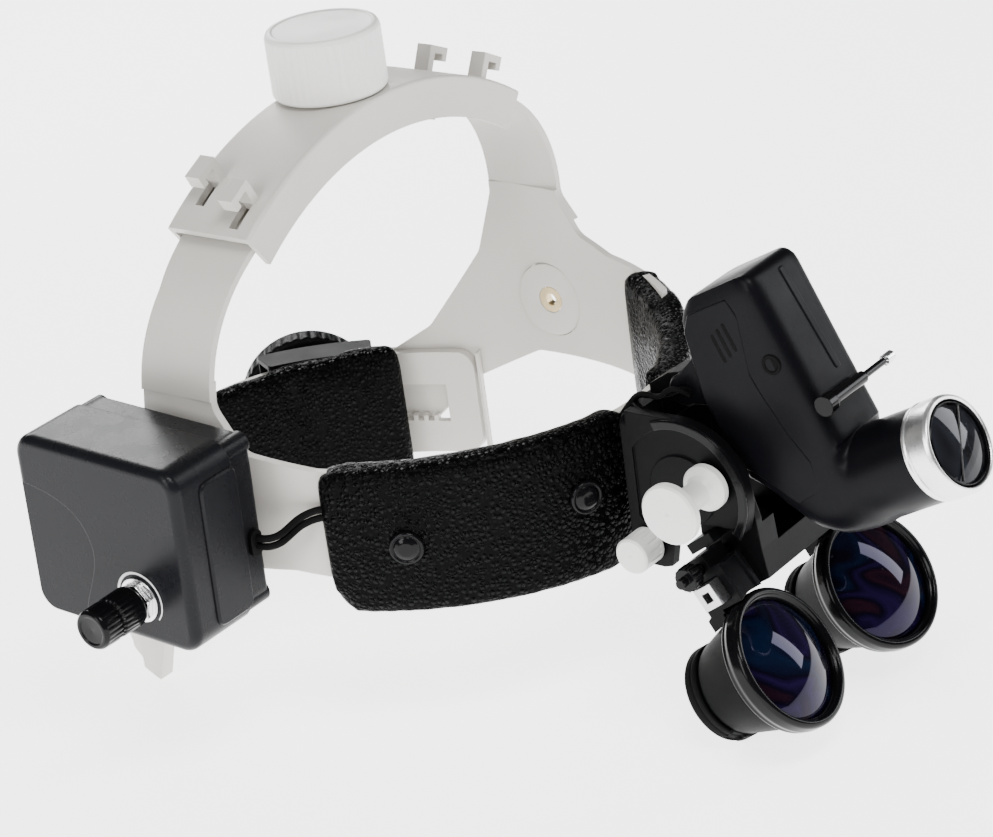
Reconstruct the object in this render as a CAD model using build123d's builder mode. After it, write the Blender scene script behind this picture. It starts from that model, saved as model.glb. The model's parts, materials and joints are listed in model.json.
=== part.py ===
from build123d import *
from math import atan2, cos, degrees, radians, sin, sqrt, tan
import os

# Dental loupes on a headband, with a headlight and a battery case. Millimetres, +Z up.
# The origin is on the surface that the loupes stand on, below the point midway between the
# temple hubs. +X is the wearer's left, and the wearer looks along -Y.

# Headband
hub_height = 73.9
half_width = 84.0
front_depth = 107.0
rear_depth = 103.0
plan_middle = 12.0
strap_thickness = 2.4
hub_bore_radius = 12.9
hub_boss_radius = 6.0
upper_strap_width = 28.0
upper_strap_middle = 6.5
strap_bend_radius = 42.0
right_hub_setback = 12.0

# Top bridge and its knob
bridge_radius = 113.5
bridge_centre_z = -12.4
bridge_half_angle = 35.8
bridge_width = 32.0
bridge_flange = 13.0
bridge_wall = 2.4
top_knob_radius = 17.8
top_knob_height = 20.4
top_knob_y = 10.0

# Rear adjuster, set round to the left of the middle of the back
rear_angle = 50.0
rear_strap_height = 38.0
rear_strap_fall = 0.112
rear_strap_left_low = -61.0
rear_floor = -hub_height
rear_knob_radius = 24.0
rear_knob_height = 13.0

# Front pads
pad_outset = 4.4
pad_inset = -8.5
pad_low = -33.0
pad_high = 17.5

# Battery case
case_outer_x = -123.8
case_middle_y = 12.3
case_middle_z = 3.8
case_length = 64.0
case_height = 58.6
case_depth = 34.0
case_pitch = 2.4
case_wall = 2.0
cover_depth = 24.0
dimmer_forward = 11.8
dimmer_up = -14.8
cell_radius = 9.1
cell_length = 46.0

# Headlight
lens_y = -200.2
lens_z = 19.1
beam_rise = 27.5
light_half_width = 13.5
light_barrel_radius = 14.0
light_lens_radius = 12.0

# Loupes
objective_half_gap = 25.6
objective_y = -156.2
objective_z = -44.7
loupe_rise = 35.2
loupe_toe_in = 5.0
loupe_length = 30.4
bezel_radius = 21.8
eyepiece_radius = 14.9

# Loupe hinge and rail
hinge_y = -131.0
hinge_z = 3.6
rail_depth = 5.5
rail_rise = 27.4
rail_size = 7.0
screw_depth = 6.0
screw_rise = 35.2
cheek_outer = 22.0
cheek_inner = 18.5


def at(x, y, z, normal=(0, 0, 1), across=(1, 0, 0)):
    """A plane at a point measured from the hub line."""
    return Plane(origin=(x, y, hub_height + z), x_dir=across, z_dir=normal)


def side_view(x=0.0):
    """A plane seen from the wearer's left: its axes are Y and Z, and it faces +X."""
    return at(x, 0, 0, normal=(1, 0, 0), across=(0, 1, 0))


def front_view(y=0.0):
    """A plane seen from the front: its axes are X and Z, and it faces -Y."""
    return at(0, y, 0, normal=(0, -1, 0), across=(1, 0, 0))


def beside_loupe(depth, height):
    """A side view point, set back and up from the objectives, square to the loupes."""
    rise = radians(loupe_rise)
    y = objective_y + depth * cos(rise) + height * sin(rise)
    z = objective_z - depth * sin(rise) + height * cos(rise)
    return (y, z)


def plan_point(turn, outset=0.0):
    """A point of the headband's plan at an angle from +X, moved outwards by outset."""
    depth = rear_depth if sin(radians(turn)) > 0 else front_depth
    x = (half_width + outset) * cos(radians(turn))
    y = plan_middle + (depth + outset) * sin(radians(turn))
    return (x, y)


def plan_facing(turn):
    """The outward direction of the headband's plan at an angle from +X."""
    depth = rear_depth if sin(radians(turn)) > 0 else front_depth
    x = cos(radians(turn)) / half_width
    y = sin(radians(turn)) / depth
    size = sqrt(x * x + y * y)
    return (x / size, y / size, 0)


def egg(outset):
    """The headband's plan, grown by outset: two half ellipses."""
    side = half_width + outset
    with BuildSketch() as plan:
        with BuildLine():
            EllipticalCenterArc((0, plan_middle), side, rear_depth + outset, 0, arc_size=180)
            EllipticalCenterArc((0, plan_middle), side, front_depth + outset, 180, arc_size=180)
        make_face()
    return plan.sketch


def wedge(first, last):
    """A wide slice of the plan between two angles from +X."""
    steps = 6
    turns = [first + (last - first) * step / steps for step in range(steps + 1)]
    with BuildSketch() as slice_shape:
        with BuildLine():
            Polyline([(0, plan_middle)] + [plan_point(turn, 70) for turn in turns], close=True)
        make_face()
    return slice_shape.sketch


def wall(first, last, inner, outer, low, high):
    """A stretch of wall that follows the headband's plan between two angles."""
    with BuildPart() as stretch:
        with BuildSketch(at(0, 0, low)):
            add(egg(outer))
            add(egg(inner), mode=Mode.SUBTRACT)
            add(wedge(first, last), mode=Mode.INTERSECT)
        extrude(amount=high - low)
    return stretch.part


def turned(outline, base, facing, angle=360):
    """A turned piece: outline is a list of (radius, height) from base along facing."""
    along = Vector(*facing).normalized()
    across = along.cross(Vector(0.2, 0.1, 1) if abs(along.Z) < 0.9 else Vector(1, 0, 0))
    with BuildPart() as piece:
        with BuildSketch(Plane(base, x_dir=across, z_dir=across.cross(along))):
            with BuildLine():
                Polyline(outline, close=True)
            make_face()
        revolve(axis=Axis(base, along), revolution_arc=angle)
    return piece.part


def disc(radius, low, high, base, facing):
    """A plain round piece from low to high along facing."""
    return turned([(0, low), (radius, low), (radius, high), (0, high)], base, facing)


def fluted(radius, depth, count, low, high, base, facing):
    """The scallops of a knurled rim, as one cutter."""
    plane = Plane(base, z_dir=facing).offset(low)
    with BuildPart() as cutter:
        with BuildSketch(plane):
            with PolarLocations(radius + depth, count):
                Circle(2 * depth)
        extrude(amount=high - low)
    return cutter.part


def row_point(x, y, z):
    """A point measured from the hub line, in the row's own frame."""
    return (x, y, hub_height + z)


# ---------------------------------------------------------------- headband
arch_inset = strap_thickness / 2
left_arch_radius = bridge_radius - bridge_wall - arch_inset - 0.2


def upper_strap(side, arch_radius, foot, past):
    """One upper strap: up from foot, over the bend and along under the bridge to past its middle."""
    start = half_width - arch_inset
    span = start - strap_bend_radius
    rise = sqrt((arch_radius - strap_bend_radius) ** 2 - span ** 2)
    bend_angle = degrees(atan2(rise, span))
    with BuildPart() as strap:
        with BuildSketch(front_view(-60)):
            with BuildLine():
                first = Line((side * start, foot), (side * start, bridge_centre_z + rise))
                bend = JernArc(first @ 1, first % 1, strap_bend_radius, side * bend_angle)
                JernArc(bend @ 1, bend % 1, arch_radius, side * (90 - bend_angle + past))
            trace(line_width=strap_thickness)
        extrude(amount=-120)
    return strap.part


def pinion_slot(side):
    """The toothed slot of an upper strap, as one cutter that runs through both straps."""
    with BuildPart() as slot:
        with BuildSketch(at(side * 7, top_knob_y, 80)):
            RectangleRounded(30, 11, 2)
        extrude(amount=40)
        with BuildSketch(at(side * 7, top_knob_y, 80)):
            with Locations((0, side * 5)):
                with GridLocations(2.5, 1, 11, 1):
                    Rectangle(1.2, 2.2)
        extrude(amount=40, mode=Mode.SUBTRACT)
    return slot.part


left_outline = [
    (-64, -16), (8, -20), (36, -34), (58, -56), (66, -61), (84, -61), (84, -24), (64, -24),
    (50, -15), (28, 14), (20.5, 36), (20.5, 150), (-7.5, 150), (-7.5, 38), (-16, 26), (-30, 22), (-64, 22),
]
right_outline = [
    (-64, -25), (-20, -19), (14, -21), (36, -42), (56, -90), (84, -90), (84, -37),
    (70, -35), (54, -14), (30, 20), (28, 30), (20.5, 64), (20.5, 150), (-7.5, 150), (-7.5, 76),
    (0, 32), (-8, 18), (-30, 14), (-64, 13),
]


def y_plate(outline, reach):
    """The Y-shaped outline of a side frame as a slab, with softened corners."""
    with BuildPart() as slab:
        with BuildSketch(side_view()) as shape:
            with BuildLine():
                Polyline(outline, close=True)
            make_face()
            fillet(shape.vertices().filter_by_position(Axis.X, -40, 60), 7)
        extrude(amount=reach)
    return slab.part


def strap_slot(first, last, inner, outer, low, high, teeth_low, count):
    """The slot of a strap with its rack of teeth, as one cutter."""
    with BuildPart() as slot:
        add(wall(first, last, inner, outer, low, high))
        for number in range(count):
            turn = first + (last - first) * (number + 0.5) / count
            x, y = plan_point(turn, (inner + outer) / 2)
            with BuildSketch(Plane(row_point(x, y, teeth_low), x_dir=plan_facing(turn))):
                Rectangle(outer - inner + 2, 1.6)
            extrude(amount=2.0, mode=Mode.SUBTRACT)
    return slot.part


with BuildPart() as rear_strap_path:
    flat_x = half_width - 4 + (rear_floor - rear_strap_left_low) / rear_strap_fall
    with BuildSketch(front_view(0)):
        with BuildLine():
            Polyline([
                (half_width - 4, rear_strap_left_low), (flat_x, rear_floor), (-100, rear_floor),
                (-100, rear_floor + rear_strap_height), (flat_x, rear_floor + rear_strap_height),
                (half_width - 4, rear_strap_left_low + rear_strap_height),
                (100, rear_strap_left_low + rear_strap_height), (100, rear_strap_left_low),
            ], close=True)
        make_face()
    extrude(amount=-130)


def rear_strap(first, last, inner, outer):
    """A stretch of rear strap, which falls towards the wearer's right."""
    return wall(first, last, inner, outer, -80, 0).intersect(rear_strap_path.part)


def trimmed(stretch, outline, reach):
    """A stretch of wall or strap, cut to the outline of a side frame."""
    with BuildPart() as cut:
        add(stretch)
        add(y_plate(outline, reach), mode=Mode.INTERSECT)
    return cut.part


with BuildPart() as side_frame_left:
    add(trimmed(wall(-52, 90, -strap_thickness, 0, -75, 40), left_outline, 130))
    add(trimmed(upper_strap(1, left_arch_radius, 30, 7), left_outline, 130))
    add(pinion_slot(1), mode=Mode.SUBTRACT)
    add(rear_strap(36, 104, -strap_thickness, 0))
    add(strap_slot(40, 100, -4, 2, -50, -38, -40, 26), mode=Mode.SUBTRACT)
    with BuildSketch(side_view(60)):
        Circle(hub_bore_radius)
    extrude(amount=40, mode=Mode.SUBTRACT)

with BuildPart() as side_frame_right:
    add(trimmed(wall(150, 232, -strap_thickness, 0, -75, 40), right_outline, -130))
    add(trimmed(upper_strap(-1, left_arch_radius - 2.6, 34, 7), right_outline, -130))
    add(pinion_slot(-1), mode=Mode.SUBTRACT)
    add(trimmed(wall(140, 164, -5.2, -2, -75, -18), right_outline, -130))
    add(rear_strap(13, 143, -5.2, -2.6))
    with BuildSketch(side_view(60)):
        with Locations((38, -42.2)):
            Rectangle(10, 44)
        with Locations((55.3, -42.2)):
            RectangleRounded(42, 38, 6.5, mode=Mode.SUBTRACT)
    extrude(amount=40, mode=Mode.SUBTRACT)
    add(strap_slot(22, 100, -7, 0, -50, -36, -50, 34), mode=Mode.SUBTRACT)
    with BuildSketch(at(-60, right_hub_setback, 0, normal=(-1, 0, 0), across=(0, 1, 0))):
        Circle(hub_bore_radius)
    extrude(amount=40, mode=Mode.SUBTRACT)

with BuildPart() as front_band:
    add(wall(218, 322, -5.0, -2.6, -19, 14))

with BuildPart() as hub_caps:
    for side, setback in ((1, 0), (-1, right_hub_setback)):
        hub_base = row_point(side * 80.6, setback, 0)
        hub_outline = [(2.1, 0), (12.6, 0), (12.6, 2.2), (7.5, 2.2), (7.5, 4.4), (2.1, 4.4)]
        add(turned(hub_outline, hub_base, (side, 0, 0)))

rivet_places = [(221.5, -11.5), (221.5, 9), (318.5, -11.5), (318.5, 9)]
with BuildPart() as band_rivets:
    for turn, height in rivet_places:
        x, y = plan_point(turn)
        facing = plan_facing(turn)
        rivet_outline = [(0, -6.2), (3.2, -6.2), (3.2, -5.04), (1.4, -5.04), (1.4, 0.04), (3.2, 0.04), (3.2, 1.0),
                         (0, 1.0)]
        add(turned(rivet_outline, row_point(x, y, height), facing))

with BuildPart() as rivet_holes:
    for turn, height in rivet_places:
        x, y = plan_point(turn)
        add(disc(1.4, -8, 3, row_point(x, y, height), plan_facing(turn)))

# ---------------------------------------------------------------- top bridge
bridge_centre = row_point(0, upper_strap_middle, bridge_centre_z)


def arch_slab(radius, half_angle, width):
    """A fan of the bridge's circle, centred across the strap."""
    with BuildPart() as slab:
        with BuildSketch(front_view(upper_strap_middle - width / 2)):
            with Locations((0, bridge_centre_z)):
                Circle(radius)
            with BuildLine():
                reach = 2 * radius
                tip = (0, bridge_centre_z)
                left = (-reach * sin(radians(half_angle)), bridge_centre_z + reach * cos(radians(half_angle)))
                right = (-left[0], left[1])
                Polyline([tip, left, right], close=True)
            make_face(mode=Mode.INTERSECT)
        extrude(amount=-width)
    return slab.part


bridge_inner = bridge_radius - bridge_wall
with BuildPart() as top_bridge:
    add(arch_slab(bridge_radius, bridge_half_angle, bridge_width))
    add(arch_slab(bridge_radius - bridge_flange, 55, bridge_width + 4), mode=Mode.SUBTRACT)
    outer_edges = top_bridge.edges().filter_by(GeomType.CIRCLE).group_by(SortBy.RADIUS)[-1]
    fillet(outer_edges, 1.2)
    add(arch_slab(bridge_inner, 55, bridge_width - 2 * bridge_wall + 1.2), mode=Mode.SUBTRACT)
    for angle in (-26, 26):
        side = 1 if angle > 0 else -1
        for across in (-8.5, 8.5):
            lean = angle + side * (3 if across < 0 else 0)
            up = (sin(radians(lean)), 0, cos(radians(lean)))
            along = (cos(radians(lean)), 0, -sin(radians(lean)))
            x = (bridge_radius - 0.6) * sin(radians(lean))
            z = bridge_centre_z + (bridge_radius - 0.6) * cos(radians(lean))
            foot = at(x, upper_strap_middle + across, z, normal=up, across=along)
            with BuildSketch(foot.offset(-4)):
                with Locations((side * 6, 0)):
                    Rectangle(9, 3.6)
            extrude(amount=8, mode=Mode.SUBTRACT)
            with BuildSketch(foot):
                Rectangle(2.6, 5.4)
            extrude(amount=9.0)
            with BuildSketch(foot.offset(6.6)):
                with Locations((side * 3.2, 0)):
                    Rectangle(8.6, 5.4)
            extrude(amount=2.4)
            with BuildSketch(foot.offset(4.6)):
                with Locations((side * 6.4, 0)):
                    Rectangle(2.2, 5.4)
            extrude(amount=2.6)
    add(disc(3.05, -10, 30, row_point(0, top_knob_y, 90), (0, 0, 1)), mode=Mode.SUBTRACT)
    seat = disc(top_knob_radius + 1.4, 0, 40, row_point(0, top_knob_y, 100.6), (0, 0, 1))
    add(seat, mode=Mode.SUBTRACT)

knob_base = row_point(0, top_knob_y, 101.0)
with BuildPart() as top_knob:
    knob_outline = [
        (0, 0), (top_knob_radius - 0.6, 0), (top_knob_radius, 0.8),
        (top_knob_radius, top_knob_height - 1.6), (top_knob_radius - 1.6, top_knob_height), (0, top_knob_height),
    ]
    add(turned(knob_outline, knob_base, (0, 0, 1)))
    add(fluted(top_knob_radius, 0.9, 22, -1, top_knob_height - 2.4, knob_base, (0, 0, 1)), mode=Mode.SUBTRACT)

with BuildPart() as top_pinion:
    add(turned([(0, -1), (1.6, -1), (1.6, -9.6), (5.5, -9.6), (5.5, -8.6), (2.9, -8.6), (2.9, 0), (0, 0)],
               knob_base, (0, 0, 1)))

# ---------------------------------------------------------------- front pads and snaps
lead_low = -1.6
lead_high = 5.0


def front_pad(first, last, outline, side):
    """A padded leatherette sleeve round the front band, open at both ends."""
    with BuildPart() as pad:
        add(wall(first, last, pad_inset, pad_outset, -40, 25))
        with BuildPart(mode=Mode.PRIVATE) as trim:
            with BuildSketch(side_view()) as shape:
                with BuildLine():
                    Polyline(outline, close=True)
                make_face()
                fillet(shape.vertices().sort_by(Axis.X)[-3:], 5)
            extrude(amount=side * 130)
        add(trim.part, mode=Mode.INTERSECT)
        add(wall(first - 6, last + 6, -6.4, 1.3, -27, 24 if side > 0 else 15.5), mode=Mode.SUBTRACT)
        add(wall(first - 6, last + 6, -1, 3.3, lead_low, lead_high), mode=Mode.SUBTRACT)
        add(wall(200, 208.5, -1, 8, lead_low, lead_high), mode=Mode.SUBTRACT)
    return pad.part


right_pad_outline = [(-31, 15), (-31, -26), (-44, pad_low), (-130, pad_low), (-130, 18.5), (-60, 18)]
left_pad_outline = [(-47, 25), (-47, -19), (-58, pad_low), (-130, pad_low), (-130, 18.5), (-90, 21), (-62, 25)]

with BuildPart() as front_pad_right:
    add(front_pad(190, 265, right_pad_outline, -1))
with BuildPart() as front_pad_left:
    add(front_pad(275, 345, left_pad_outline, 1))
with BuildPart() as pad_snaps:
    for turn, height in ((217.5, -9), (250, -4), (290, -4), (318, 6)):
        x, y = plan_point(turn, pad_outset - 0.6)
        snap_outline = [(0, 0), (5.2, 0), (5.2, 1.2), (4.2, 2.0), (1.5, 2.3), (0, 2.3)]
        add(turned(snap_outline, row_point(x, y, height), plan_facing(turn)))
front_pad_right.part = front_pad_right.part - pad_snaps.part
front_pad_left.part = front_pad_left.part - pad_snaps.part
for frame in (side_frame_left, side_frame_right, front_band):
    frame.part = frame.part - rivet_holes.part

# ---------------------------------------------------------------- rear adjuster
rear_x, rear_y = plan_point(rear_angle, 0)
rear_facing = plan_facing(rear_angle)
rear_middle = -44.0
rear_base = row_point(rear_x, rear_y, rear_middle)

with BuildPart() as rear_housing:
    add(wall(rear_angle - 12, rear_angle + 12, -8.6, 3.4, -72, -22))
    fillet(rear_housing.edges().filter_by(Axis.Z), 2.0)
    add(disc(15.5, 0, 5.4, rear_base, rear_facing))
    add(wall(rear_angle - 30, rear_angle + 30, -6.2, 0.9, -70, -23.8), mode=Mode.SUBTRACT)
    add(disc(3.05, -12, 12, rear_base, rear_facing), mode=Mode.SUBTRACT)

knob_low = 5.8
with BuildPart() as rear_knob:
    rim = rear_knob_radius
    rear_outline = [
        (0, knob_low), (rim - 0.8, knob_low), (rim, knob_low + 1), (rim, knob_low + 7.5),
        (rim - 1.0, knob_low + 10), (rim - 3.4, knob_low + 12), (rim - 8, knob_low + rear_knob_height),
        (0, knob_low + rear_knob_height + 0.8),
    ]
    add(turned(rear_outline, rear_base, rear_facing))
    add(fluted(rim, 0.35, 40, 0, knob_low + 6.5, rear_base, rear_facing), mode=Mode.SUBTRACT)

with BuildPart() as rear_pinion:
    add(turned([(0, knob_low - 1), (2.0, knob_low - 1), (2.9, knob_low), (2.9, -5.8), (3.9, -5.8), (3.9, -6.0), (0, -6.0)],
               rear_base, rear_facing))
rear_knob.part = rear_knob.part - rear_pinion.part

with BuildPart() as rear_pad:
    add(wall(26.5, 80, -19.5, -8.9, rear_floor, -12))
    fillet(rear_pad.edges().filter_by(Axis.Z), 3.5)
    with BuildPart(mode=Mode.PRIVATE) as pad_side:
        with BuildSketch(side_view()) as side_shape:
            with BuildLine():
                Polyline((40, rear_floor), (40, -10), (57, -13.4), (88, -19.2), (120, -22.6), (120, rear_floor), close=True)
            make_face()
        extrude(amount=100)
    add(pad_side.part, mode=Mode.INTERSECT)

# ---------------------------------------------------------------- battery case
pitch = radians(case_pitch)
case_forward = (0, -cos(pitch), -sin(pitch))
case_face = at(case_outer_x, case_middle_y, case_middle_z, normal=(-1, 0, 0), across=case_forward)
case_mouth = -cover_depth


def case_shape(inset, corner, low, high):
    """A rounded block of the battery case, between two depths from its outer face."""
    with BuildPart() as block:
        with BuildSketch(case_face.offset(low)):
            RectangleRounded(case_length - 2 * inset, case_height - 2 * inset, corner)
        extrude(amount=high - low)
    return block.part


def case_point(forward, up, out):
    """A point measured from the middle of the case's outer face."""
    return case_face.offset(out).from_local_coords(Vector(forward, up, 0))


dimmer_base = case_point(dimmer_forward, dimmer_up, 0)
case_out = (-1, 0, 0)
sideways = (1, 0, 0)
nearside = (-1, 0, 0)
lead_exit_up = -5.9
screw_places = [(27.2, 24.4), (-27.2, 24.4), (27.2, -24.4), (-27.2, -24.4)]

with BuildPart() as battery_cover:
    add(case_shape(0, 7, case_mouth, 0))
    fillet(battery_cover.faces().sort_by(Axis.X)[0].edges(), 3.0)
    with BuildPart(mode=Mode.PRIVATE) as ledge:
        with BuildSketch(case_face.offset(0.6)):
            with BuildLine():
                fall = Spline((-34, 14), (-22, 12.5), (-9, 6), (-5, -3), (-7.5, -14), (-12, -34))
                Line(fall @ 1, (-44, -34))
                Line((-44, -34), (-44, 14))
                Line((-44, 14), fall @ 0)
            make_face()
        extrude(amount=-1.1)
    add(ledge.part, mode=Mode.SUBTRACT)
    add(case_shape(case_wall, 5, case_mouth - 1, -case_wall), mode=Mode.SUBTRACT)
    with BuildSketch(case_face.offset(case_mouth + 0.05)):
        with Locations(*screw_places):
            Circle(3.0)
    extrude(amount=20)
    with BuildSketch(case_face.offset(case_mouth - 1)):
        with Locations(*screw_places):
            Circle(1.0)
    extrude(amount=14, mode=Mode.SUBTRACT)
    add(disc(3.6, -6, 2, dimmer_base, case_out), mode=Mode.SUBTRACT)

with BuildPart() as battery_base:
    add(case_shape(1.4, 6, -case_depth, case_mouth))
    fillet(battery_base.faces().sort_by(Axis.X)[-1].edges(), 1.6)
    add(case_shape(1.4 + case_wall, 4.4, -case_depth + case_wall, case_mouth + 1), mode=Mode.SUBTRACT)
    with BuildSketch(case_face.offset(-case_depth)):
        with Locations(*screw_places):
            Circle(3.4)
    extrude(amount=case_depth - cover_depth - 0.05)
    with BuildSketch(case_face.offset(-case_depth - 1)):
        with Locations(*screw_places):
            Circle(1.6)
    extrude(amount=20, mode=Mode.SUBTRACT)
    with BuildSketch(case_face.offset(-case_depth - 1)):
        with Locations(*screw_places):
            Circle(2.7)
    extrude(amount=6, mode=Mode.SUBTRACT)
    front_wall = Plane(case_point(case_length / 2 - 1.4, lead_exit_up, -30), x_dir=(1, 0, 0), z_dir=case_forward)
    with BuildSketch(front_wall.offset(1)):
        SlotOverall(7.6, 3.6, rotation=90)
    extrude(amount=-6, mode=Mode.SUBTRACT)
    rear_wall = Plane(case_point(-case_length / 2 + 1.4, -17, -28), x_dir=(1, 0, 0),
                      z_dir=(0, cos(pitch), sin(pitch)))
    with BuildSketch(rear_wall.offset(1)):
        Circle(2.9)
    extrude(amount=-6, mode=Mode.SUBTRACT)

with BuildPart() as case_screws:
    for forward, up in screw_places:
        screw_base = case_point(forward, up, -case_depth)
        screw_outline = [(0, 3), (2.4, 3), (2.4, 5), (0.95, 5), (0.95, 20), (0, 20)]
        add(turned(screw_outline, screw_base, case_out))

with BuildPart() as charging_socket:
    socket_base = case_point(-case_length / 2 + 1.4, -17, -28)
    socket_out = (0, cos(pitch), sin(pitch))
    add(disc(2.8, -9, 0.5, socket_base, socket_out))
    add(disc(3.8, -9, -2.1, socket_base, socket_out))
    add(disc(1.75, -7.5, 1, socket_base, socket_out), mode=Mode.SUBTRACT)

with BuildPart() as battery_cells:
    for up in (14.5, -5.5):
        cell_base = case_point(-0.5 - cell_length / 2, up, -21)
        cell_outline = [
            (0, 0), (cell_radius - 0.8, 0), (cell_radius, 0.8), (cell_radius, cell_length - 1.6),
            (cell_radius - 1, cell_length - 0.8), (3.2, cell_length - 0.8), (3.2, cell_length), (0, cell_length),
        ]
        add(turned(cell_outline, cell_base, case_forward))

with BuildPart() as charge_board:
    with BuildSketch(case_face.offset(-29.5)):
        with Locations((0, -20.6)):
            Rectangle(40, 10)
    extrude(amount=1.6)

with BuildPart() as dimmer_pot:
    add(turned([(0, -9), (7, -9), (7, -2.1), (3.5, -2.1), (3.5, 3.2), (2.6, 3.2), (2.6, -6), (0, -6)],
               dimmer_base, case_out))
with BuildPart() as dimmer_nut:
    add(turned([(3.6, 0.02), (7.0, 0.02), (7.0, 0.9), (3.6, 0.9)], dimmer_base, case_out))
    with BuildSketch(Plane(dimmer_base, z_dir=case_out).offset(0.95)):
        RegularPolygon(6.0, 6)
        Circle(3.6, mode=Mode.SUBTRACT)
    extrude(amount=2.0)
with BuildPart() as dimmer_knob:
    add(turned([(0, 14), (2.55, 14), (2.55, 3.6), (5.7, 3.6), (6.4, 4.4), (6.2, 20.2), (5.6, 21), (0, 21)],
               dimmer_base, case_out))
    add(fluted(6.4, 0.4, 20, 6, 19.4, dimmer_base, case_out), mode=Mode.SUBTRACT)
    add(disc(2.5, -5.9, 14.0, dimmer_base, case_out))

with BuildPart() as case_clip:
    with BuildSketch(case_face.offset(-case_depth - 0.02)):
        RectangleRounded(34, 40, 3)
    extrude(amount=-8)
    add(wall(150, 215, -20, 0.1, -60, 60), mode=Mode.SUBTRACT)
    add(disc(13.2, 0, 5.2, row_point(-80.6, right_hub_setback, 0), nearside), mode=Mode.SUBTRACT)
    with BuildSketch(case_face.offset(-case_depth)):
        with Locations(*screw_places):
            Circle(3.4)
    extrude(amount=-8, mode=Mode.SUBTRACT)

# ---------------------------------------------------------------- power lead
lead_radius = 1.1
lead_start = case_point(case_length / 2 - 3.3, lead_exit_up, -30)
lead_turns = [202, 211, 220, 229, 238, 247, 256, 262]
with BuildPart() as power_lead:
    for height in (0.35, 2.95):
        route = [(lead_start.X, lead_start.Y, lead_start.Z + height - 1.65),
                 (lead_start.X + 1.4, lead_start.Y - 9.2, lead_start.Z + height - 1.65)]
        for turn in lead_turns:
            x, y = plan_point(turn, 1.9)
            route.append((x, y, hub_height + height))
        radii = []
        for before, corner, after in zip(route, route[1:], route[2:]):
            arriving = Vector(*corner) - Vector(*before)
            leaving = Vector(*after) - Vector(*corner)
            shorter = min(arriving.length, leaving.length)
            radii.append(0.45 * shorter / tan(radians(arriving.get_angle(leaving)) / 2))
        with BuildLine() as run:
            FilletPolyline(*route, radius=radii)
        wire = run.wires()[0]
        with BuildSketch(Plane(wire @ 0, z_dir=wire % 0)):
            Circle(lead_radius)
        sweep(path=wire)
        print("lead radii", [round(radius, 1) for radius in radii], "length", round(wire.length, 1))

with BuildPart() as lead_grommet:
    with BuildSketch(front_wall.offset(1.5)):
        SlotOverall(8.6, 4.6, rotation=90)
    extrude(amount=-1.5)
    with BuildSketch(front_wall.offset(1.5)):
        SlotOverall(7.5, 3.5, rotation=90)
    extrude(amount=-5)
lead_grommet.part = lead_grommet.part - power_lead.part

# ---------------------------------------------------------------- front bracket
hinge_base = row_point(0, hinge_y, hinge_z)
clamp_y = -107.5
clamp_z = -20.0
clamp_base = row_point(0, clamp_y, clamp_z)
tilt_y = -116.0
tilt_z = 25.0
tilt_base = row_point(0, tilt_y, tilt_z)

with BuildPart() as front_bracket:
    add(wall(262, 278, pad_outset + 0.3, pad_outset + 3.3, -22, 20))
    with BuildSketch(front_view(-101.4)):
        with Locations((0, -1)):
            RectangleRounded(2 * cheek_outer, 42, 3)
    extrude(amount=3.4)
    with BuildPart(mode=Mode.PRIVATE) as cheeks:
        with BuildSketch(side_view(-cheek_outer)) as cheek:
            with Locations((-121, -0.5)):
                Circle(22.5)
            with BuildLine():
                Polyline((-98, 22), (-121, 22), (-141, 9), (-138, -14), (-122, -24), (-112, -27), (-98, -27), close=True)
            make_face()
            with Locations((-93, 0)):
                Rectangle(21, 80, mode=Mode.SUBTRACT)
        extrude(amount=2 * cheek_outer)
        with BuildSketch(side_view(-cheek_inner)):
            with Locations((-130, 0)):
                Rectangle(62, 100)
        extrude(amount=2 * cheek_inner, mode=Mode.SUBTRACT)
        for face_x in (-cheek_outer, cheek_outer - 0.8):
            with BuildSketch(side_view(face_x)):
                with Locations((-121, -0.5)):
                    Circle(19.5)
                    Circle(11, mode=Mode.SUBTRACT)
            extrude(amount=0.8, mode=Mode.SUBTRACT)
        with BuildSketch(side_view(-40)):
            with Locations((hinge_y, hinge_z)):
                Circle(3.05)
            with Locations((clamp_y, clamp_z)):
                Circle(2.05)
            Polygon((-160, -9.5), (-118, -10.5), (-114.5, -27.5), (-114.5, -60), (-160, -60), align=None)
        extrude(amount=80, mode=Mode.SUBTRACT)
    add(cheeks.part)
    add(wall(240, 300, -8, pad_outset + 0.3, -40, 40), mode=Mode.SUBTRACT)
    with BuildPart(mode=Mode.PRIVATE) as tower:
        with BuildSketch(side_view(-4.8)):
            with Locations((tilt_y, tilt_z)):
                Circle(5.2)
            with BuildLine():
                Polyline((-101, 8), (-112, 16), (-119.5, 21), (-118, 30), (-108, 27.5), (-101, 23), close=True)
            make_face()
        extrude(amount=9.6)
        with BuildSketch(side_view(-10)):
            with Locations((tilt_y, tilt_z)):
                Circle(2.05)
        extrude(amount=20, mode=Mode.SUBTRACT)
    add(tower.part)
    for height in (-13, 8):
        add(disc(1.6, -10, 30, row_point(0, -94, height), (0, -1, 0)), mode=Mode.SUBTRACT)
        add(disc(3.0, 7.6, 60, row_point(0, -94, height), (0, -1, 0)), mode=Mode.SUBTRACT)

with BuildPart() as bracket_screws:
    for height in (-13, 8):
        screw_base = row_point(0, -94, height)
        add(turned([(0, -1.5), (1.5, -1.5), (1.5, 7.6), (2.8, 7.6), (2.8, 9.2), (2.2, 9.8), (0, 9.8)],
                   screw_base, (0, -1, 0)))
front_band.part = front_band.part - bracket_screws.part

# ---------------------------------------------------------------- loupe arm
rail_y, rail_z = beside_loupe(rail_depth, rail_rise)
screw_y, screw_z = beside_loupe(screw_depth, screw_rise)
arm_half = cheek_inner - 1.2

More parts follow.
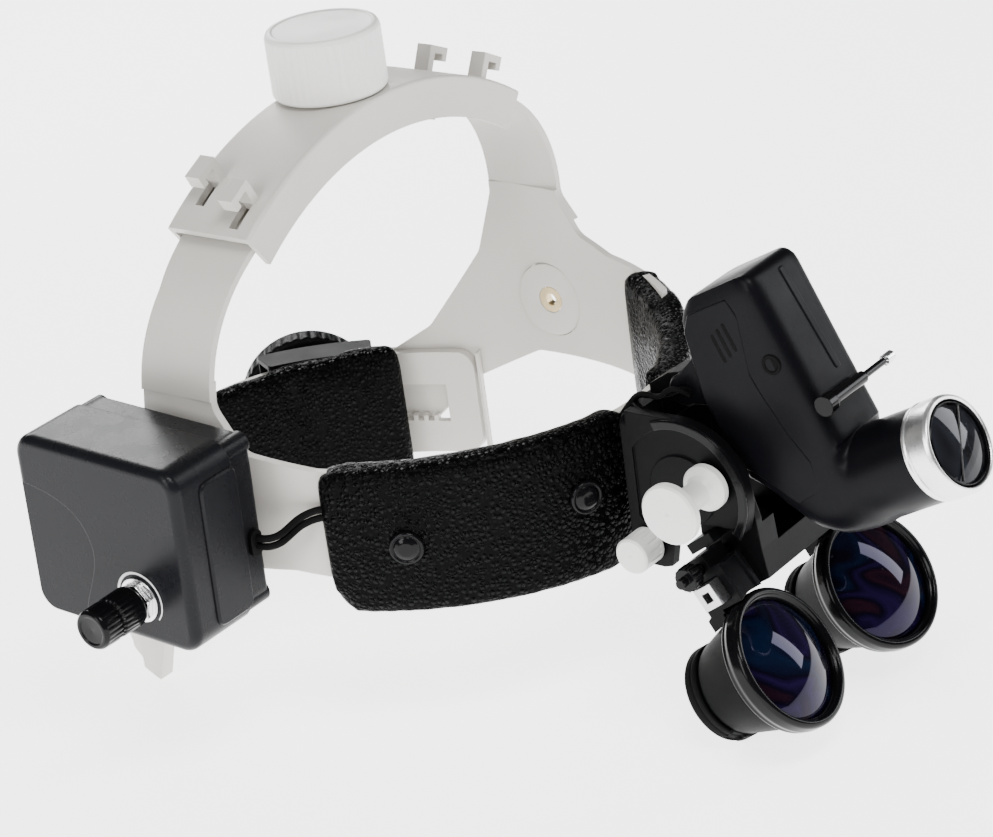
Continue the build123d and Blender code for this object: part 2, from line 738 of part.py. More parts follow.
with BuildPart() as loupe_arm:
    with BuildSketch(side_view(-arm_half)):
        with Locations((hinge_y, hinge_z)):
            Circle(8.8)
        with BuildLine():
            Polyline((-138.6, 6), (-142.5, -8), (-143.5, -17), (-145.2, -26), (-133.2, -33.7), (-123.2, -19.6),
                     (-122.5, -6), close=True)
        make_face()
    extrude(amount=2 * arm_half)
    with BuildSketch(side_view(-24)):
        with BuildLine():
            Polyline(beside_loupe(2, 39.2), beside_loupe(12, 39.2), beside_loupe(12, 42.4), beside_loupe(2, 42.4), close=True)
        make_face()
    extrude(amount=48)
    with BuildSketch(side_view(-light_half_width - 1.0)):
        with BuildLine():
            Polyline((-170, 30), (-170, -9.5), (-143, -9.5), (-131, -7), (-110, -7), (-110, 30), close=True)
        make_face()
    extrude(amount=2 * light_half_width + 2.0, mode=Mode.SUBTRACT)
    with BuildSketch(side_view(-8.6)):
        with Locations((-130, 2.5)):
            Rectangle(60, 40)
    extrude(amount=17.2, mode=Mode.SUBTRACT)
    with BuildSketch(side_view(-40)):
        with Locations((hinge_y, hinge_z)):
            Circle(3.0)
        with Locations((rail_y, rail_z)):
            Rectangle(rail_size, rail_size, rotation=-loupe_rise)
        with Locations((screw_y, screw_z)):
            Circle(1.8)
    extrude(amount=80, mode=Mode.SUBTRACT)

with BuildPart() as slide_rail:
    with BuildSketch(side_view(-35.5)):
        with Locations((rail_y, rail_z)):
            Rectangle(rail_size, rail_size, rotation=-loupe_rise)
            Rectangle(rail_size - 4, rail_size - 4, rotation=-loupe_rise, mode=Mode.SUBTRACT)
    extrude(amount=71)

with BuildPart() as gap_screw:
    screw_base = row_point(0, screw_y, screw_z)
    add(disc(1.5, -41.4, 34.6, screw_base, sideways))
    add(turned([(0, 34.4), (3.4, 34.4), (3.9, 34.9), (3.9, 38.2), (3.4, 38.7), (0, 38.7)], screw_base, nearside))
    add(fluted(3.9, 0.4, 14, 34, 39, screw_base, nearside), mode=Mode.SUBTRACT)

with BuildPart() as hinge_stubs:
    add(disc(3.0, light_half_width + 1.0, cheek_outer + 3.0, hinge_base, sideways))
    add(disc(3.0, light_half_width + 1.0, cheek_outer + 3.0, hinge_base, nearside))
    add(turned([(0, cheek_outer + 3.0), (3, cheek_outer + 3.0), (3, cheek_outer + 0.3), (8, cheek_outer + 0.3),
                (8, cheek_outer + 3.2), (7.2, cheek_outer + 4), (0, cheek_outer + 4)], hinge_base, sideways))
with BuildPart() as flip_knob:
    near = cheek_outer
    add(turned([(0, near + 3.02), (3.02, near + 3.02), (3.02, near + 0.3), (6.4, near + 0.3), (7.0, near + 0.9),
                (7.0, near + 3.0), (6.3, near + 3.8), (4.8, near + 4.5), (3.9, near + 6), (3.9, near + 15.5),
                (5.0, near + 17.4), (8.6, near + 18.2), (9.2, near + 18.8), (9.2, near + 20.8), (8.6, near + 21.5),
                (0, near + 21.9)], hinge_base, nearside))
with BuildPart() as clamp_bolt:
    add(disc(2.0, -cheek_outer - 1.5, cheek_outer + 1, clamp_base, sideways))
    add(disc(3.4, cheek_outer + 0.02, cheek_outer + 2.4, clamp_base, sideways))
with BuildPart() as clamp_knob:
    add(turned([(0, near + 1.52), (2.02, near + 1.52), (2.02, near + 0.3), (5.0, near + 0.3), (5.6, near + 0.9),
                (5.6, near + 9.4), (5.0, near + 10.0), (0, near + 10.2)], clamp_base, nearside))
    add(fluted(5.6, 0.3, 14, near + 2, near + 7, clamp_base, nearside), mode=Mode.SUBTRACT)

# ---------------------------------------------------------------- loupes
rise = radians(loupe_rise)
toe = radians(loupe_toe_in)
taper = (bezel_radius - 1.6 - eyepiece_radius) / loupe_length


def loupe_axis(side):
    """Where one loupe's objective rim is, and the way that it looks."""
    facing = (-side * sin(toe), -cos(rise) * cos(toe), sin(rise) * cos(toe))
    return row_point(side * objective_half_gap, objective_y, objective_z), facing


def barrel_radius(depth):
    """The barrel's outer radius at a depth behind the objective rim."""
    return bezel_radius - 1.6 - taper * depth


carriage_outline = [
    (-0.5, 20.6), (8.4, 20.6), (8.4, 12), (15.4, 12), (15.0, 20.8), (13.2, 21.6), (13.2, 24.0), (11.5, 24.0),
    (11.5, 33.4), (9.4, 33.4), (9.4, 38.6), (2.6, 38.6), (2.6, 33.4), (-0.5, 33.4),
]

loupe_pieces = {}
for side, hand in ((1, "left"), (-1, "right")):
    base, facing = loupe_axis(side)
    length = loupe_length
    barrel_outline = [
        (18.4, -7.6), (barrel_radius(7.6) - 0.4, -7.6), (barrel_radius(8.4), -8.4), (barrel_radius(24), -24),
        (eyepiece_radius - 0.6, -24.6), (eyepiece_radius - 1.4, -25.2), (eyepiece_radius - 1.4, -length + 1),
        (12.0, -length + 1), (12.0, -24.6), (17.0, -12), (17.0, -10), (18.4, -9.6),
    ]
    with BuildPart() as barrel:
        add(turned(barrel_outline, base, facing))
    with BuildPart() as bezel:
        add(turned([(17.2, -7.5), (20.6, -7.5), (21.2, -7.0), (21.2, -3.0), (21.8, -2.4), (21.8, -0.4),
                    (21.3, 0), (19.6, 0), (18.9, -0.8), (18.4, -1.4), (18.4, -5.4), (17.2, -5.4)], base, facing))
    with BuildPart() as objective:
        lens_centre = 38.0
        crown = sqrt(lens_centre ** 2 - 18.3 ** 2)
        lens_outline = [(0, -5.3), (18.3, -5.3), (18.3, -2.6)]
        for step in range(1, 9):
            radius = 18.3 * (1 - step / 8)
            lens_outline.append((radius, -2.6 + sqrt(lens_centre ** 2 - radius ** 2) - crown))
        lens_outline = lens_outline[:-1] + [(0, -2.6 + lens_centre - crown)]
        add(turned(lens_outline, base, facing))
    with BuildPart() as eyepiece_ring:
        add(turned([(12.2, -length), (14.2, -length), (eyepiece_radius, -length + 0.8), (eyepiece_radius, -25.3),
                    (eyepiece_radius - 1.38, -25.3), (eyepiece_radius - 1.38, -length + 0.98),
                    (10.4, -length + 0.98), (10.4, -length + 0.4)], base, facing))
    with BuildPart() as eyepiece_lens:
        add(turned([(0, -28.2), (9.0, -28.0), (11.9, -27.4), (11.9, -25.4), (9, -24.9), (0, -24.7)], base, facing))
    with BuildPart() as carriage:
        with BuildSketch(side_view(side * 25.8 - 5.2)):
            with BuildLine():
                Polyline([beside_loupe(*spot) for spot in carriage_outline], close=True)
            make_face()
        extrude(amount=10.4)
        for rib_x in (side * 25.8 - 5.2, side * 25.8 + 3.6):
            with BuildSketch(side_view(rib_x)):
                with Locations(beside_loupe(rail_depth, rail_rise)):
                    Rectangle(13.2, 13.2, rotation=-loupe_rise)
            extrude(amount=1.6)
        with BuildSketch(side_view(-60)):
            with Locations((rail_y, rail_z)):
                Rectangle(rail_size + 0.7, rail_size + 0.7, rotation=-loupe_rise)
            with Locations((screw_y, screw_z)):
                Circle(1.8)
        extrude(amount=120, mode=Mode.SUBTRACT)
        envelope = [(0, 2), (22.3, 2), (22.3, -7.9), (barrel_radius(7.9) + 0.02, -7.9),
                    (barrel_radius(24.0) + 0.02, -24.0), (eyepiece_radius + 0.4, -24.6),
                    (eyepiece_radius + 0.4, -length - 3), (0, -length - 3)]
        add(turned(envelope, base, facing), mode=Mode.SUBTRACT)
    loupe_pieces[hand] = {
        "loupe_barrel": barrel, "loupe_bezel": bezel, "objective_lens": objective,
        "eyepiece_ring": eyepiece_ring, "eyepiece_lens": eyepiece_lens, "carriage": carriage,
    }

# ---------------------------------------------------------------- headlight
tilt = radians(beam_rise)
beam_axis = (0, -cos(tilt), sin(tilt))
light_base = row_point(0.3, lens_y, lens_z)
light_side = Plane(row_point(0.3, lens_y, lens_z), x_dir=(0, cos(tilt), -sin(tilt)), z_dir=(1, 0, 0))


def light_slab(outline, half):
    """A side outline of the headlight as a slab, centred on the beam."""
    with BuildPart() as slab:
        with BuildSketch(light_side.offset(-half)):
            with BuildLine():
                Polyline(outline, close=True)
            make_face()
        extrude(amount=2 * half)
    return slab.part


def beam_disc(radius, front, back):
    """A round piece on the beam's axis, between two depths behind the lens."""
    return disc(radius, -back, -front, light_base, beam_axis)


outer_outline = [(28, 66), (28, 6), (31, -13), (41, -13.8), (47, -11), (54, 0), (59, 10), (64.5, 14), (64.5, 40),
                 (59, 62), (55, 66), (45, 68.5), (33, 68.5)]
inner_outline = [(30, 65), (30, 8), (33, -9), (41, -11), (46, -8.6), (52, 1.6), (57.4, 12), (62.4, 16), (62.4, 40),
                 (57, 60.6), (54, 64), (45, 66.4), (34, 66.4)]
tilt_local = light_side.to_local_coords(Vector(*row_point(0, tilt_y, tilt_z)))
ear_place = (tilt_local.X, tilt_local.Y)
screw_place = (34.7, 42.1)
screw_axis = light_side.from_local_coords(Vector(screw_place[0], screw_place[1], 0))

with BuildPart() as light_body:
    add(light_slab(outer_outline, light_half_width))
    side_faces = light_body.faces().filter_by(Axis.X)
    fillet(side_faces.edges(), 1.8)
    add(beam_disc(light_barrel_radius, 8.6, 46))
    add(beam_disc(13.3, 3.0, 9))
    with BuildPart(mode=Mode.PRIVATE) as ears:
        for ear_x in (-9.2, 5.2):
            with BuildSketch(light_side.offset(ear_x - 0.3)):
                with Locations(ear_place):
                    Circle(5.0)
                with BuildLine():
                    Polyline((ear_place[0] - 0.8, ear_place[1] + 5), (60, ear_place[1] + 9), (60, ear_place[1] - 9),
                             (ear_place[0] - 0.8, ear_place[1] - 5), close=True)
                make_face()
            extrude(amount=4.0)
    add(ears.part)
    add(light_slab(inner_outline, light_half_width - 1.8), mode=Mode.SUBTRACT)
    add(beam_disc(12.2, -1, 44), mode=Mode.SUBTRACT)
    with BuildPart(mode=Mode.PRIVATE) as post:
        add(disc(4.0, -light_half_width + 0.5, light_half_width - 0.5, screw_axis, sideways))
    add(post.part)
    with BuildSketch(light_side.offset(-40)):
        with Locations(ear_place):
            Circle(2.0)
    extrude(amount=80, mode=Mode.SUBTRACT)
    add(disc(2.4, light_half_width - 3.4, light_half_width + 1, screw_axis, nearside), mode=Mode.SUBTRACT)
    add(disc(1.05, -6, light_half_width, screw_axis, nearside), mode=Mode.SUBTRACT)
    for number in range(3):
        with BuildSketch(light_side.offset(-light_half_width - 1)):
            with Locations((43.6 + 2.5 * number, 53.4 - 0.7 * number)):
                SlotOverall(9, 1.2, rotation=86)
        extrude(amount=4, mode=Mode.SUBTRACT)
    with BuildPart(mode=Mode.PRIVATE) as step:
        with BuildSketch(light_side.offset(-light_half_width - 1)):
            with BuildLine():
                Polyline((20, 80), (37.4, 80), (37.4, 58), (42.6, 44), (42.6, 36), (41.2, 22.8), (36, 12), (20, 12), close=True)
            make_face()
        extrude(amount=1.45)
    add(step.part - beam_disc(light_barrel_radius + 0.4, 0, 60), mode=Mode.SUBTRACT)
    with BuildSketch(light_side.offset(-1.6)):
        Polygon((26, 80), (28.5, 80), (28.5, 31), (26, 31), align=None)
    extrude(amount=2.6, mode=Mode.SUBTRACT)

half_box = 120
with BuildPart() as headlight_shell_right:
    add(light_body.part)
    with BuildSketch(at(0, -150, 20, normal=(-1, 0, 0), across=(0, 1, 0))):
        Rectangle(200, 200)
    extrude(amount=half_box, mode=Mode.INTERSECT)
with BuildPart() as headlight_shell_left:
    add(light_body.part)
    with BuildSketch(at(0.02, -150, 20, normal=(1, 0, 0), across=(0, 1, 0))):
        Rectangle(200, 200)
    extrude(amount=half_box, mode=Mode.INTERSECT)

with BuildPart() as shell_screw:
    add(turned([(0, -5.5), (1.0, -5.5), (1.0, light_half_width - 3.4), (2.2, light_half_width - 3.4),
                (2.2, light_half_width - 1.8), (1.2, light_half_width - 1.4), (0, light_half_width - 1.4)],
               screw_axis, nearside))
with BuildPart() as tilt_pin:
    add(disc(1.97, -9.0, 9.0, tilt_base, sideways))
with BuildPart() as focus_ring:
    add(turned([(13.35, -8.4), (14.4, -8.4), (14.4, 0.3), (13.9, 0.9), (12.9, 0.9), (12.6, 0.3), (12.6, -2.7),
                (13.35, -2.7)], light_base, beam_axis))
with BuildPart() as lens_cell:
    add(turned([(11.0, -9), (12.1, -9), (12.1, 0.2), (11.7, 0.6), (11.7, -1.5), (11.0, -1.5)], light_base, beam_axis))
with BuildPart() as light_lens:
    lens_outline = [(0, -1.45), (11.65, -1.45), (11.65, -0.5)]
    for step_number in range(1, 8):
        lens_radius = 11.65 * (1 - step_number / 8)
        lens_outline.append((lens_radius, -0.5 + sqrt(52.0 ** 2 - lens_radius ** 2) - sqrt(52.0 ** 2 - 11.65 ** 2)))
    lens_outline.append((0, -0.5 + 52.0 - sqrt(52.0 ** 2 - 11.65 ** 2)))
    add(turned(lens_outline, light_base, beam_axis))
with BuildPart() as led_emitter:
    add(disc(3.2, 34.0, 38.0, light_base, tuple(-value for value in beam_axis)))
    add(turned([(0, -38), (9, -38), (9, -39.4), (0, -39.4)], light_base, beam_axis))
with BuildPart() as heat_sink:
    add(beam_disc(10.8, 39.45, 43.6))
    with BuildSketch(light_side.offset(-9.5)):
        Polygon((43.6, 4), (55, 16), (55, 34), (41, 34), (41, 2), align=None)
    extrude(amount=19)
    with BuildSketch(light_side.offset(-7.5)):
        Polygon((50, -20), (62, -20), (62, 60), (50, 60), align=None)
    extrude(amount=2, mode=Mode.SUBTRACT)
    for fin in range(4):
        with BuildSketch(light_side.offset(-6.5 + 4 * fin)):
            Polygon((46, 12), (60, 12), (60, 60), (46, 60), align=None)
        extrude(amount=2, mode=Mode.SUBTRACT)
with BuildPart() as driver_board:
    with BuildSketch(light_side.offset(4)):
        Polygon((41, 37), (56, 37), (56, 58), (41, 58), align=None)
    extrude(amount=1.6)

lever_place = light_side.from_local_coords(Vector(25.4, 25.6, 0))
with BuildPart() as filter_lever:
    add(turned([(0, -13.2), (3.0, -13.2), (3.0, -9.4), (1.9, -8.8), (1.9, 8), (1.1, 9.2), (1.1, 19.5), (0, 19.5)],
               lever_place, sideways))
with BuildPart() as lever_tip:
    add(turned([(0, 19.52), (1.0, 19.52), (1.7, 20.2), (1.7, 23.8), (1.1, 24.4), (0, 24.4)], lever_place, sideways))
headlight_shell_right.part = headlight_shell_right.part - filter_lever.part

# ---------------------------------------------------------------- hand over
pieces = {
    "side_frame_left": side_frame_left, "side_frame_right": side_frame_right, "front_band": front_band,
    "hub_caps": hub_caps, "band_rivets": band_rivets, "top_bridge": top_bridge, "top_knob": top_knob,
    "top_pinion": top_pinion, "front_pad_right": front_pad_right, "front_pad_left": front_pad_left,
    "pad_snaps": pad_snaps, "rear_housing": rear_housing, "rear_knob": rear_knob, "rear_pinion": rear_pinion,
    "rear_pad": rear_pad, "battery_cover": battery_cover, "battery_base": battery_base,
    "case_screws": case_screws, "charging_socket": charging_socket, "battery_cells": battery_cells,
    "charge_board": charge_board, "dimmer_pot": dimmer_pot, "dimmer_nut": dimmer_nut,
    "dimmer_knob": dimmer_knob, "case_clip": case_clip, "power_lead": power_lead,
    "lead_grommet": lead_grommet, "front_bracket": front_bracket, "bracket_screws": bracket_screws,
    "loupe_arm": loupe_arm, "slide_rail": slide_rail, "gap_screw": gap_screw, "hinge_stubs": hinge_stubs,
    "flip_knob": flip_knob, "clamp_bolt": clamp_bolt, "clamp_knob": clamp_knob,
    "headlight_shell_right": headlight_shell_right, "headlight_shell_left": headlight_shell_left,
    "shell_screw": shell_screw, "tilt_pin": tilt_pin, "focus_ring": focus_ring, "lens_cell": lens_cell,
    "light_lens": light_lens, "led_emitter": led_emitter, "heat_sink": heat_sink,
    "driver_board": driver_board, "filter_lever": filter_lever, "lever_tip": lever_tip,
}
for hand, group in loupe_pieces.items():
    for name, piece in group.items():
        pieces[f"{name}_{hand}"] = piece

os.makedirs("parts", exist_ok=True)
for name, piece in pieces.items():
    piece.part.label = name
    export_step(piece.part, f"parts/{name}.step")
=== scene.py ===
import json
from math import cos, pi, radians, sin, sqrt

import bmesh
import bpy
from mathutils import Matrix, Vector


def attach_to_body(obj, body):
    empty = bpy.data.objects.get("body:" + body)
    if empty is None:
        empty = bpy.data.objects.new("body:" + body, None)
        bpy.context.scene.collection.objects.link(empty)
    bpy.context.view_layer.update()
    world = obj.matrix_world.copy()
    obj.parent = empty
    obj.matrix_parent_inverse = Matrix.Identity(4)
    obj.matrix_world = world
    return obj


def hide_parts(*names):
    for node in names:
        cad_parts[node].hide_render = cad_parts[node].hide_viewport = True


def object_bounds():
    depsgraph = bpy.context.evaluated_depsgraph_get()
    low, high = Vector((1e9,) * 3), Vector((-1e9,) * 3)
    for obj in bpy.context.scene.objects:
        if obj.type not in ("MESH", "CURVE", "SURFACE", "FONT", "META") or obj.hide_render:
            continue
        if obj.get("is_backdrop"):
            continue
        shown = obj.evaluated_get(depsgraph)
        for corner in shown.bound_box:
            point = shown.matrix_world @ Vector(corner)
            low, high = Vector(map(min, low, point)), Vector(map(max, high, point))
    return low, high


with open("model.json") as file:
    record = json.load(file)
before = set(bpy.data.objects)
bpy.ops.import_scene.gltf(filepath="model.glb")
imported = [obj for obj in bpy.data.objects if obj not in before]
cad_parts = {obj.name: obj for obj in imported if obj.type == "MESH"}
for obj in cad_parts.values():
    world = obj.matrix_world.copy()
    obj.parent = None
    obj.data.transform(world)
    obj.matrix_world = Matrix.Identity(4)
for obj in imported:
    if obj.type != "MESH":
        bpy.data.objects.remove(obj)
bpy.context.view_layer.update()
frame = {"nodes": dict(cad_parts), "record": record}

nodes = frame["nodes"]
record = frame["record"]
joints = {joint["name"]: joint for joint in record["behaviour"]["joints"]}
mounts = {mount["name"]: mount for mount in record["mounts"]}
scene = bpy.context.scene

# The hub line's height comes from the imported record. The rest are the headband's plan sizes in mm.
hub = mounts["temple_hub_left"]["pos_m"][2]
half_width, front_depth, rear_depth, plan_middle = 84.0, 107.0, 103.0, 12.0


def at(x, y, z):
    """A point measured in millimetres from the middle of the hub line."""
    return Vector((x / 1000, y / 1000, hub + z / 1000))


def plan_point(turn, outset=0.0, z=0.0):
    """A point on the headband's plan at an angle from +X, moved outwards by outset."""
    depth = rear_depth if sin(radians(turn)) > 0 else front_depth
    x = (half_width + outset) * cos(radians(turn))
    y = plan_middle + (depth + outset) * sin(radians(turn))
    return at(x, y, z)


def plan_facing(turn):
    """The outward direction of the headband's plan at an angle from +X."""
    depth = rear_depth if sin(radians(turn)) > 0 else front_depth
    return Vector((cos(radians(turn)) / half_width, sin(radians(turn)) / depth, 0)).normalized()


# ---------------------------------------------------------------- camera, floor and light
camera_data = bpy.data.cameras.new("camera")
camera = bpy.data.objects.new("camera", camera_data)
scene.collection.objects.link(camera)
camera_data.lens = 111.0
camera_data.sensor_width = 36.0
camera_data.clip_end = 20.0
right = Vector((0.594, -0.795, -0.124)).normalized()
back = Vector((-0.698, -0.586, 0.412)).normalized()
up = back.cross(right).normalized()
right = up.cross(back).normalized()
turn_matrix = Matrix((right, up, back)).transposed().to_4x4()
camera.matrix_world = Matrix.Translation(at(-659.85, -591.27, 387.77)) @ turn_matrix
scene.camera = camera


def node_tree(owner):
    owner.use_nodes = True
    owner.node_tree.nodes.clear()
    return owner.node_tree


def area_light(name, place, target, size, power, tint=(1, 1, 1)):
    data = bpy.data.lights.new(name, "AREA")
    data.shape = "RECTANGLE"
    data.size, data.size_y = size
    data.energy = power
    data.color = tint
    lamp = bpy.data.objects.new(name, data)
    scene.collection.objects.link(lamp)
    lamp.location = place
    lamp.rotation_euler = (Vector(place) - Vector(target)).to_track_quat("Z", "Y").to_euler()
    return lamp


world = bpy.data.worlds.new("studio")
scene.world = world
tree = node_tree(world)
sky = tree.nodes.new("ShaderNodeBackground")
sky.inputs["Color"].default_value = (1, 1, 1, 1)
sky.inputs["Strength"].default_value = 0.12
world_out = tree.nodes.new("ShaderNodeOutputWorld")
tree.links.new(sky.outputs[0], world_out.inputs[0])
area_light("key", (-0.30, -0.55, 1.05), (0, -0.05, 0.05), (0.55, 0.30), 10.5)
area_light("fill_right", (0.85, -0.75, 0.55), (0, -0.1, 0.06), (0.25, 0.8), 7.0, (0.96, 0.98, 1.0))
area_light("rim_back", (0.46, 0.78, 0.56), (-0.09, 0.03, 0.08), (0.7, 0.3), 9.0)
area_light("side_strip", (-1.0, -0.05, 0.60), (-0.05, 0, 0.08), (0.35, 0.7), 8.0)


# ---------------------------------------------------------------- materials
class Shader:
    """A material with a principled shader and a few helpers for its nodes."""

    def __init__(self, name, colour, rough, metal=0.0, specular=0.5, coat=0.0, coat_rough=0.1):
        self.material = bpy.data.materials.new(name)
        self.tree = node_tree(self.material)
        self.main = self.add("ShaderNodeBsdfPrincipled")
        output = self.add("ShaderNodeOutputMaterial")
        self.link(self.main.outputs[0], output.inputs[0])
        self.main.inputs["Base Color"].default_value = (*colour, 1)
        self.main.inputs["Roughness"].default_value = rough
        self.main.inputs["Metallic"].default_value = metal
        self.main.inputs["Specular IOR Level"].default_value = specular
        self.main.inputs["Coat Weight"].default_value = coat
        self.main.inputs["Coat Roughness"].default_value = coat_rough
        self.place = self.add("ShaderNodeTexCoord").outputs["Object"]
        self.normal = None

    def add(self, kind, **values):
        """Adds a node with the given attributes."""
        node = self.tree.nodes.new(kind)
        for key, value in values.items():
            setattr(node, key, value)
        return node

    def link(self, source, target):
        self.tree.links.new(source, target)

    def noise(self, scale, detail=2.0, rough=0.5, distort=0.0, place=None):
        """A noise value at the given scale."""
        node = self.add("ShaderNodeTexNoise")
        node.inputs["Scale"].default_value = scale
        node.inputs["Detail"].default_value = detail
        node.inputs["Roughness"].default_value = rough
        node.inputs["Distortion"].default_value = distort
        self.link(place or self.place, node.inputs["Vector"])
        return node.outputs["Fac"]

    def cells(self, scale, feature="DISTANCE_TO_EDGE", place=None, smooth=None):
        """The distance within a cell pattern: to its edges, or to its centres."""
        node = self.add("ShaderNodeTexVoronoi", feature=feature)
        node.inputs["Scale"].default_value = scale
        if smooth is not None:
            node.inputs["Smoothness"].default_value = smooth
        self.link(place or self.place, node.inputs["Vector"])
        return node.outputs["Distance"]

    def ramp(self, source, *stops):
        """A colour from a value, by stops of (value, colour)."""
        node = self.add("ShaderNodeValToRGB")
        while len(node.color_ramp.elements) < len(stops):
            node.color_ramp.elements.new(0.5)
        for element, (spot, colour) in zip(node.color_ramp.elements, stops):
            element.position = spot
            element.color = (*colour, 1) if len(colour) == 3 else colour
        self.link(source, node.inputs["Fac"])
        return node.outputs["Color"]

    def spread(self, source, low, high, from_low=0.3, from_high=0.7):
        """Stretches a value's range from from_low..from_high to low..high."""
        node = self.add("ShaderNodeMapRange")
        limits = {"From Min": from_low, "From Max": from_high, "To Min": low, "To Max": high}
        for key, value in limits.items():
            node.inputs[key].default_value = value
        self.link(source, node.inputs["Value"])
        return node.outputs["Result"]

    def maths(self, operation, first, second):
        """Joins two values; each is a number or a node's output."""
        node = self.add("ShaderNodeMath", operation=operation)
        for slot, value in zip(node.inputs, (first, second)):
            if isinstance(value, (int, float)):
                slot.default_value = value
            else:
                self.link(value, slot)
        return node.outputs[0]

    def mix(self, factor, first, second):
        """Mixes two colours; each is a colour or a node's output."""
        node = self.add("ShaderNodeMix", data_type="RGBA")
        slots = (node.inputs["Factor"], node.inputs[6], node.inputs[7])
        for slot, value in zip(slots, (factor, first, second)):
            if isinstance(value, (int, float)):
                slot.default_value = value
            elif isinstance(value, tuple):
                slot.default_value = (*value, 1)
            else:
                self.link(value, slot)
        return node.outputs[2]

    def bump(self, height, depth, strength=1.0):
        """Lays a relief over the ones before it; depth is in metres."""
        node = self.add("ShaderNodeBump")
        node.inputs["Strength"].default_value = strength
        node.inputs["Distance"].default_value = depth
        self.link(height, node.inputs["Height"])
        if self.normal is not None:
            self.link(self.normal, node.inputs["Normal"])
        self.normal = node.outputs[0]
        self.link(self.normal, self.main.inputs["Normal"])

    def soft_edges(self, radius):
        """Rounds the look of sharp edges, and returns a mask of where they are."""
        node = self.add("ShaderNodeBevel", samples=6)
        node.inputs["Radius"].default_value = radius
        self.normal = node.outputs[0]
        self.link(self.normal, self.main.inputs["Normal"])
        geometry = self.add("ShaderNodeNewGeometry")
        dot = self.add("ShaderNodeVectorMath", operation="DOT_PRODUCT")
        self.link(node.outputs[0], dot.inputs[0])
        self.link(geometry.outputs["Normal"], dot.inputs[1])
        return self.spread(dot.outputs["Value"], 1.0, 0.0, 0.8, 0.995)

    def set(self, name, source):
        """Drives one of the shader's inputs from a node's output."""
        self.link(source, self.main.inputs[name])


def moulded(name, colour, rough, wear=0.12, wear_colour=(0.5, 0.5, 0.5), grain=0.00004, shift=0.06,
            coat=0.0, edge=0.00045, specular=0.5, grain_scale=2600.0):
    """Moulded plastic: fine grain, faint flow marks, uneven gloss and rubbed edges."""
    shader = Shader(name, colour, rough, coat=coat, specular=specular)
    mask = shader.soft_edges(edge)
    darker = tuple(value * (1 - shift) for value in colour)
    lighter = tuple(min(1, value * (1 + shift)) for value in colour)
    tone = shader.ramp(shader.noise(28, 3), (0.35, darker), (0.65, lighter))
    specks = shader.spread(shader.noise(900, 4, 0.7), 0.0, 1.0, 0.62, 0.70)
    tone = shader.mix(shader.maths("MULTIPLY", specks, 0.04), tone, wear_colour)
    rub = shader.maths("MULTIPLY", mask, shader.spread(shader.noise(160, 3), wear * 0.4, wear))
    shader.set("Base Color", shader.mix(rub, tone, wear_colour))
    gloss = shader.spread(shader.noise(75, 4, 0.6), rough * 0.86, rough * 1.16)
    shader.set("Roughness", gloss)
    shader.bump(shader.noise(grain_scale, 2, 0.6), grain)
    return shader.material


def pebbled(name, colour, rough, scale=620.0, depth=0.00042):
    """Leatherette: raised round pebbles between creases, with shiny tops and dull creases, and painted shade that
    darkens the creases.
    """
    shader = Shader(name, colour, rough, specular=0.03)
    warp = shader.add("ShaderNodeVectorMath", operation="MULTIPLY_ADD")
    drift = shader.add("ShaderNodeTexNoise")
    drift.inputs["Scale"].default_value = 240
    shader.link(shader.place, drift.inputs["Vector"])
    shader.link(drift.outputs["Color"], warp.inputs[0])
    warp.inputs[1].default_value = (0.0011, 0.0011, 0.0011)
    shader.link(shader.place, warp.inputs[2])
    place = warp.outputs[0]
    dome = shader.spread(shader.cells(scale, "SMOOTH_F1", place, 0.25), 1.0, 0.0, 0.05, 0.62)
    crease = shader.spread(shader.cells(scale, place=place), 0.0, 1.0, 0.0, 0.16)
    fine = shader.noise(3600, 3, 0.6)
    height = shader.maths("ADD", shader.maths("MULTIPLY", dome, crease), shader.maths("MULTIPLY", fine, 0.05))
    bright = tuple(value * 1.6 + 0.002 for value in colour)
    # Painted shade: the colour darkens into the creases between the pebbles.
    tone = shader.ramp(crease, (0.0, tuple(value * 0.3 for value in colour)), (0.7, colour), (1.0, bright))
    patch = shader.spread(shader.noise(24, 3), 0.0, 0.35)
    shader.set("Base Color", shader.mix(patch, tone, bright))
    shader.set("Roughness", shader.spread(crease, rough * 1.8, rough, 0.0, 0.9))
    shader.bump(height, depth)
    shader.bump(shader.noise(55, 3), 0.0007, 0.6)
    return shader.material


def turned_metal(name, colour, rough, metal=1.0, scratch=0.00001, scale=(9000, 9000, 400), tarnish=0.15):
    """Machined metal: fine tool marks, small scratches and uneven shine."""
    shader = Shader(name, colour, rough, metal=metal)
    shader.soft_edges(0.0003)
    stretch = shader.add("ShaderNodeMapping")
    stretch.inputs["Scale"].default_value = scale
    shader.link(shader.place, stretch.inputs["Vector"])
    marks = shader.noise(1.0, 3, 0.7, place=stretch.outputs[0])
    shader.set("Roughness", shader.spread(marks, rough * 0.75, rough * 1.4))
    darker = tuple(value * (1 - tarnish) for value in colour)
    shader.set("Base Color", shader.ramp(shader.noise(140, 4), (0.35, darker), (0.6, colour)))
    shader.bump(marks, scratch)
    return shader.material


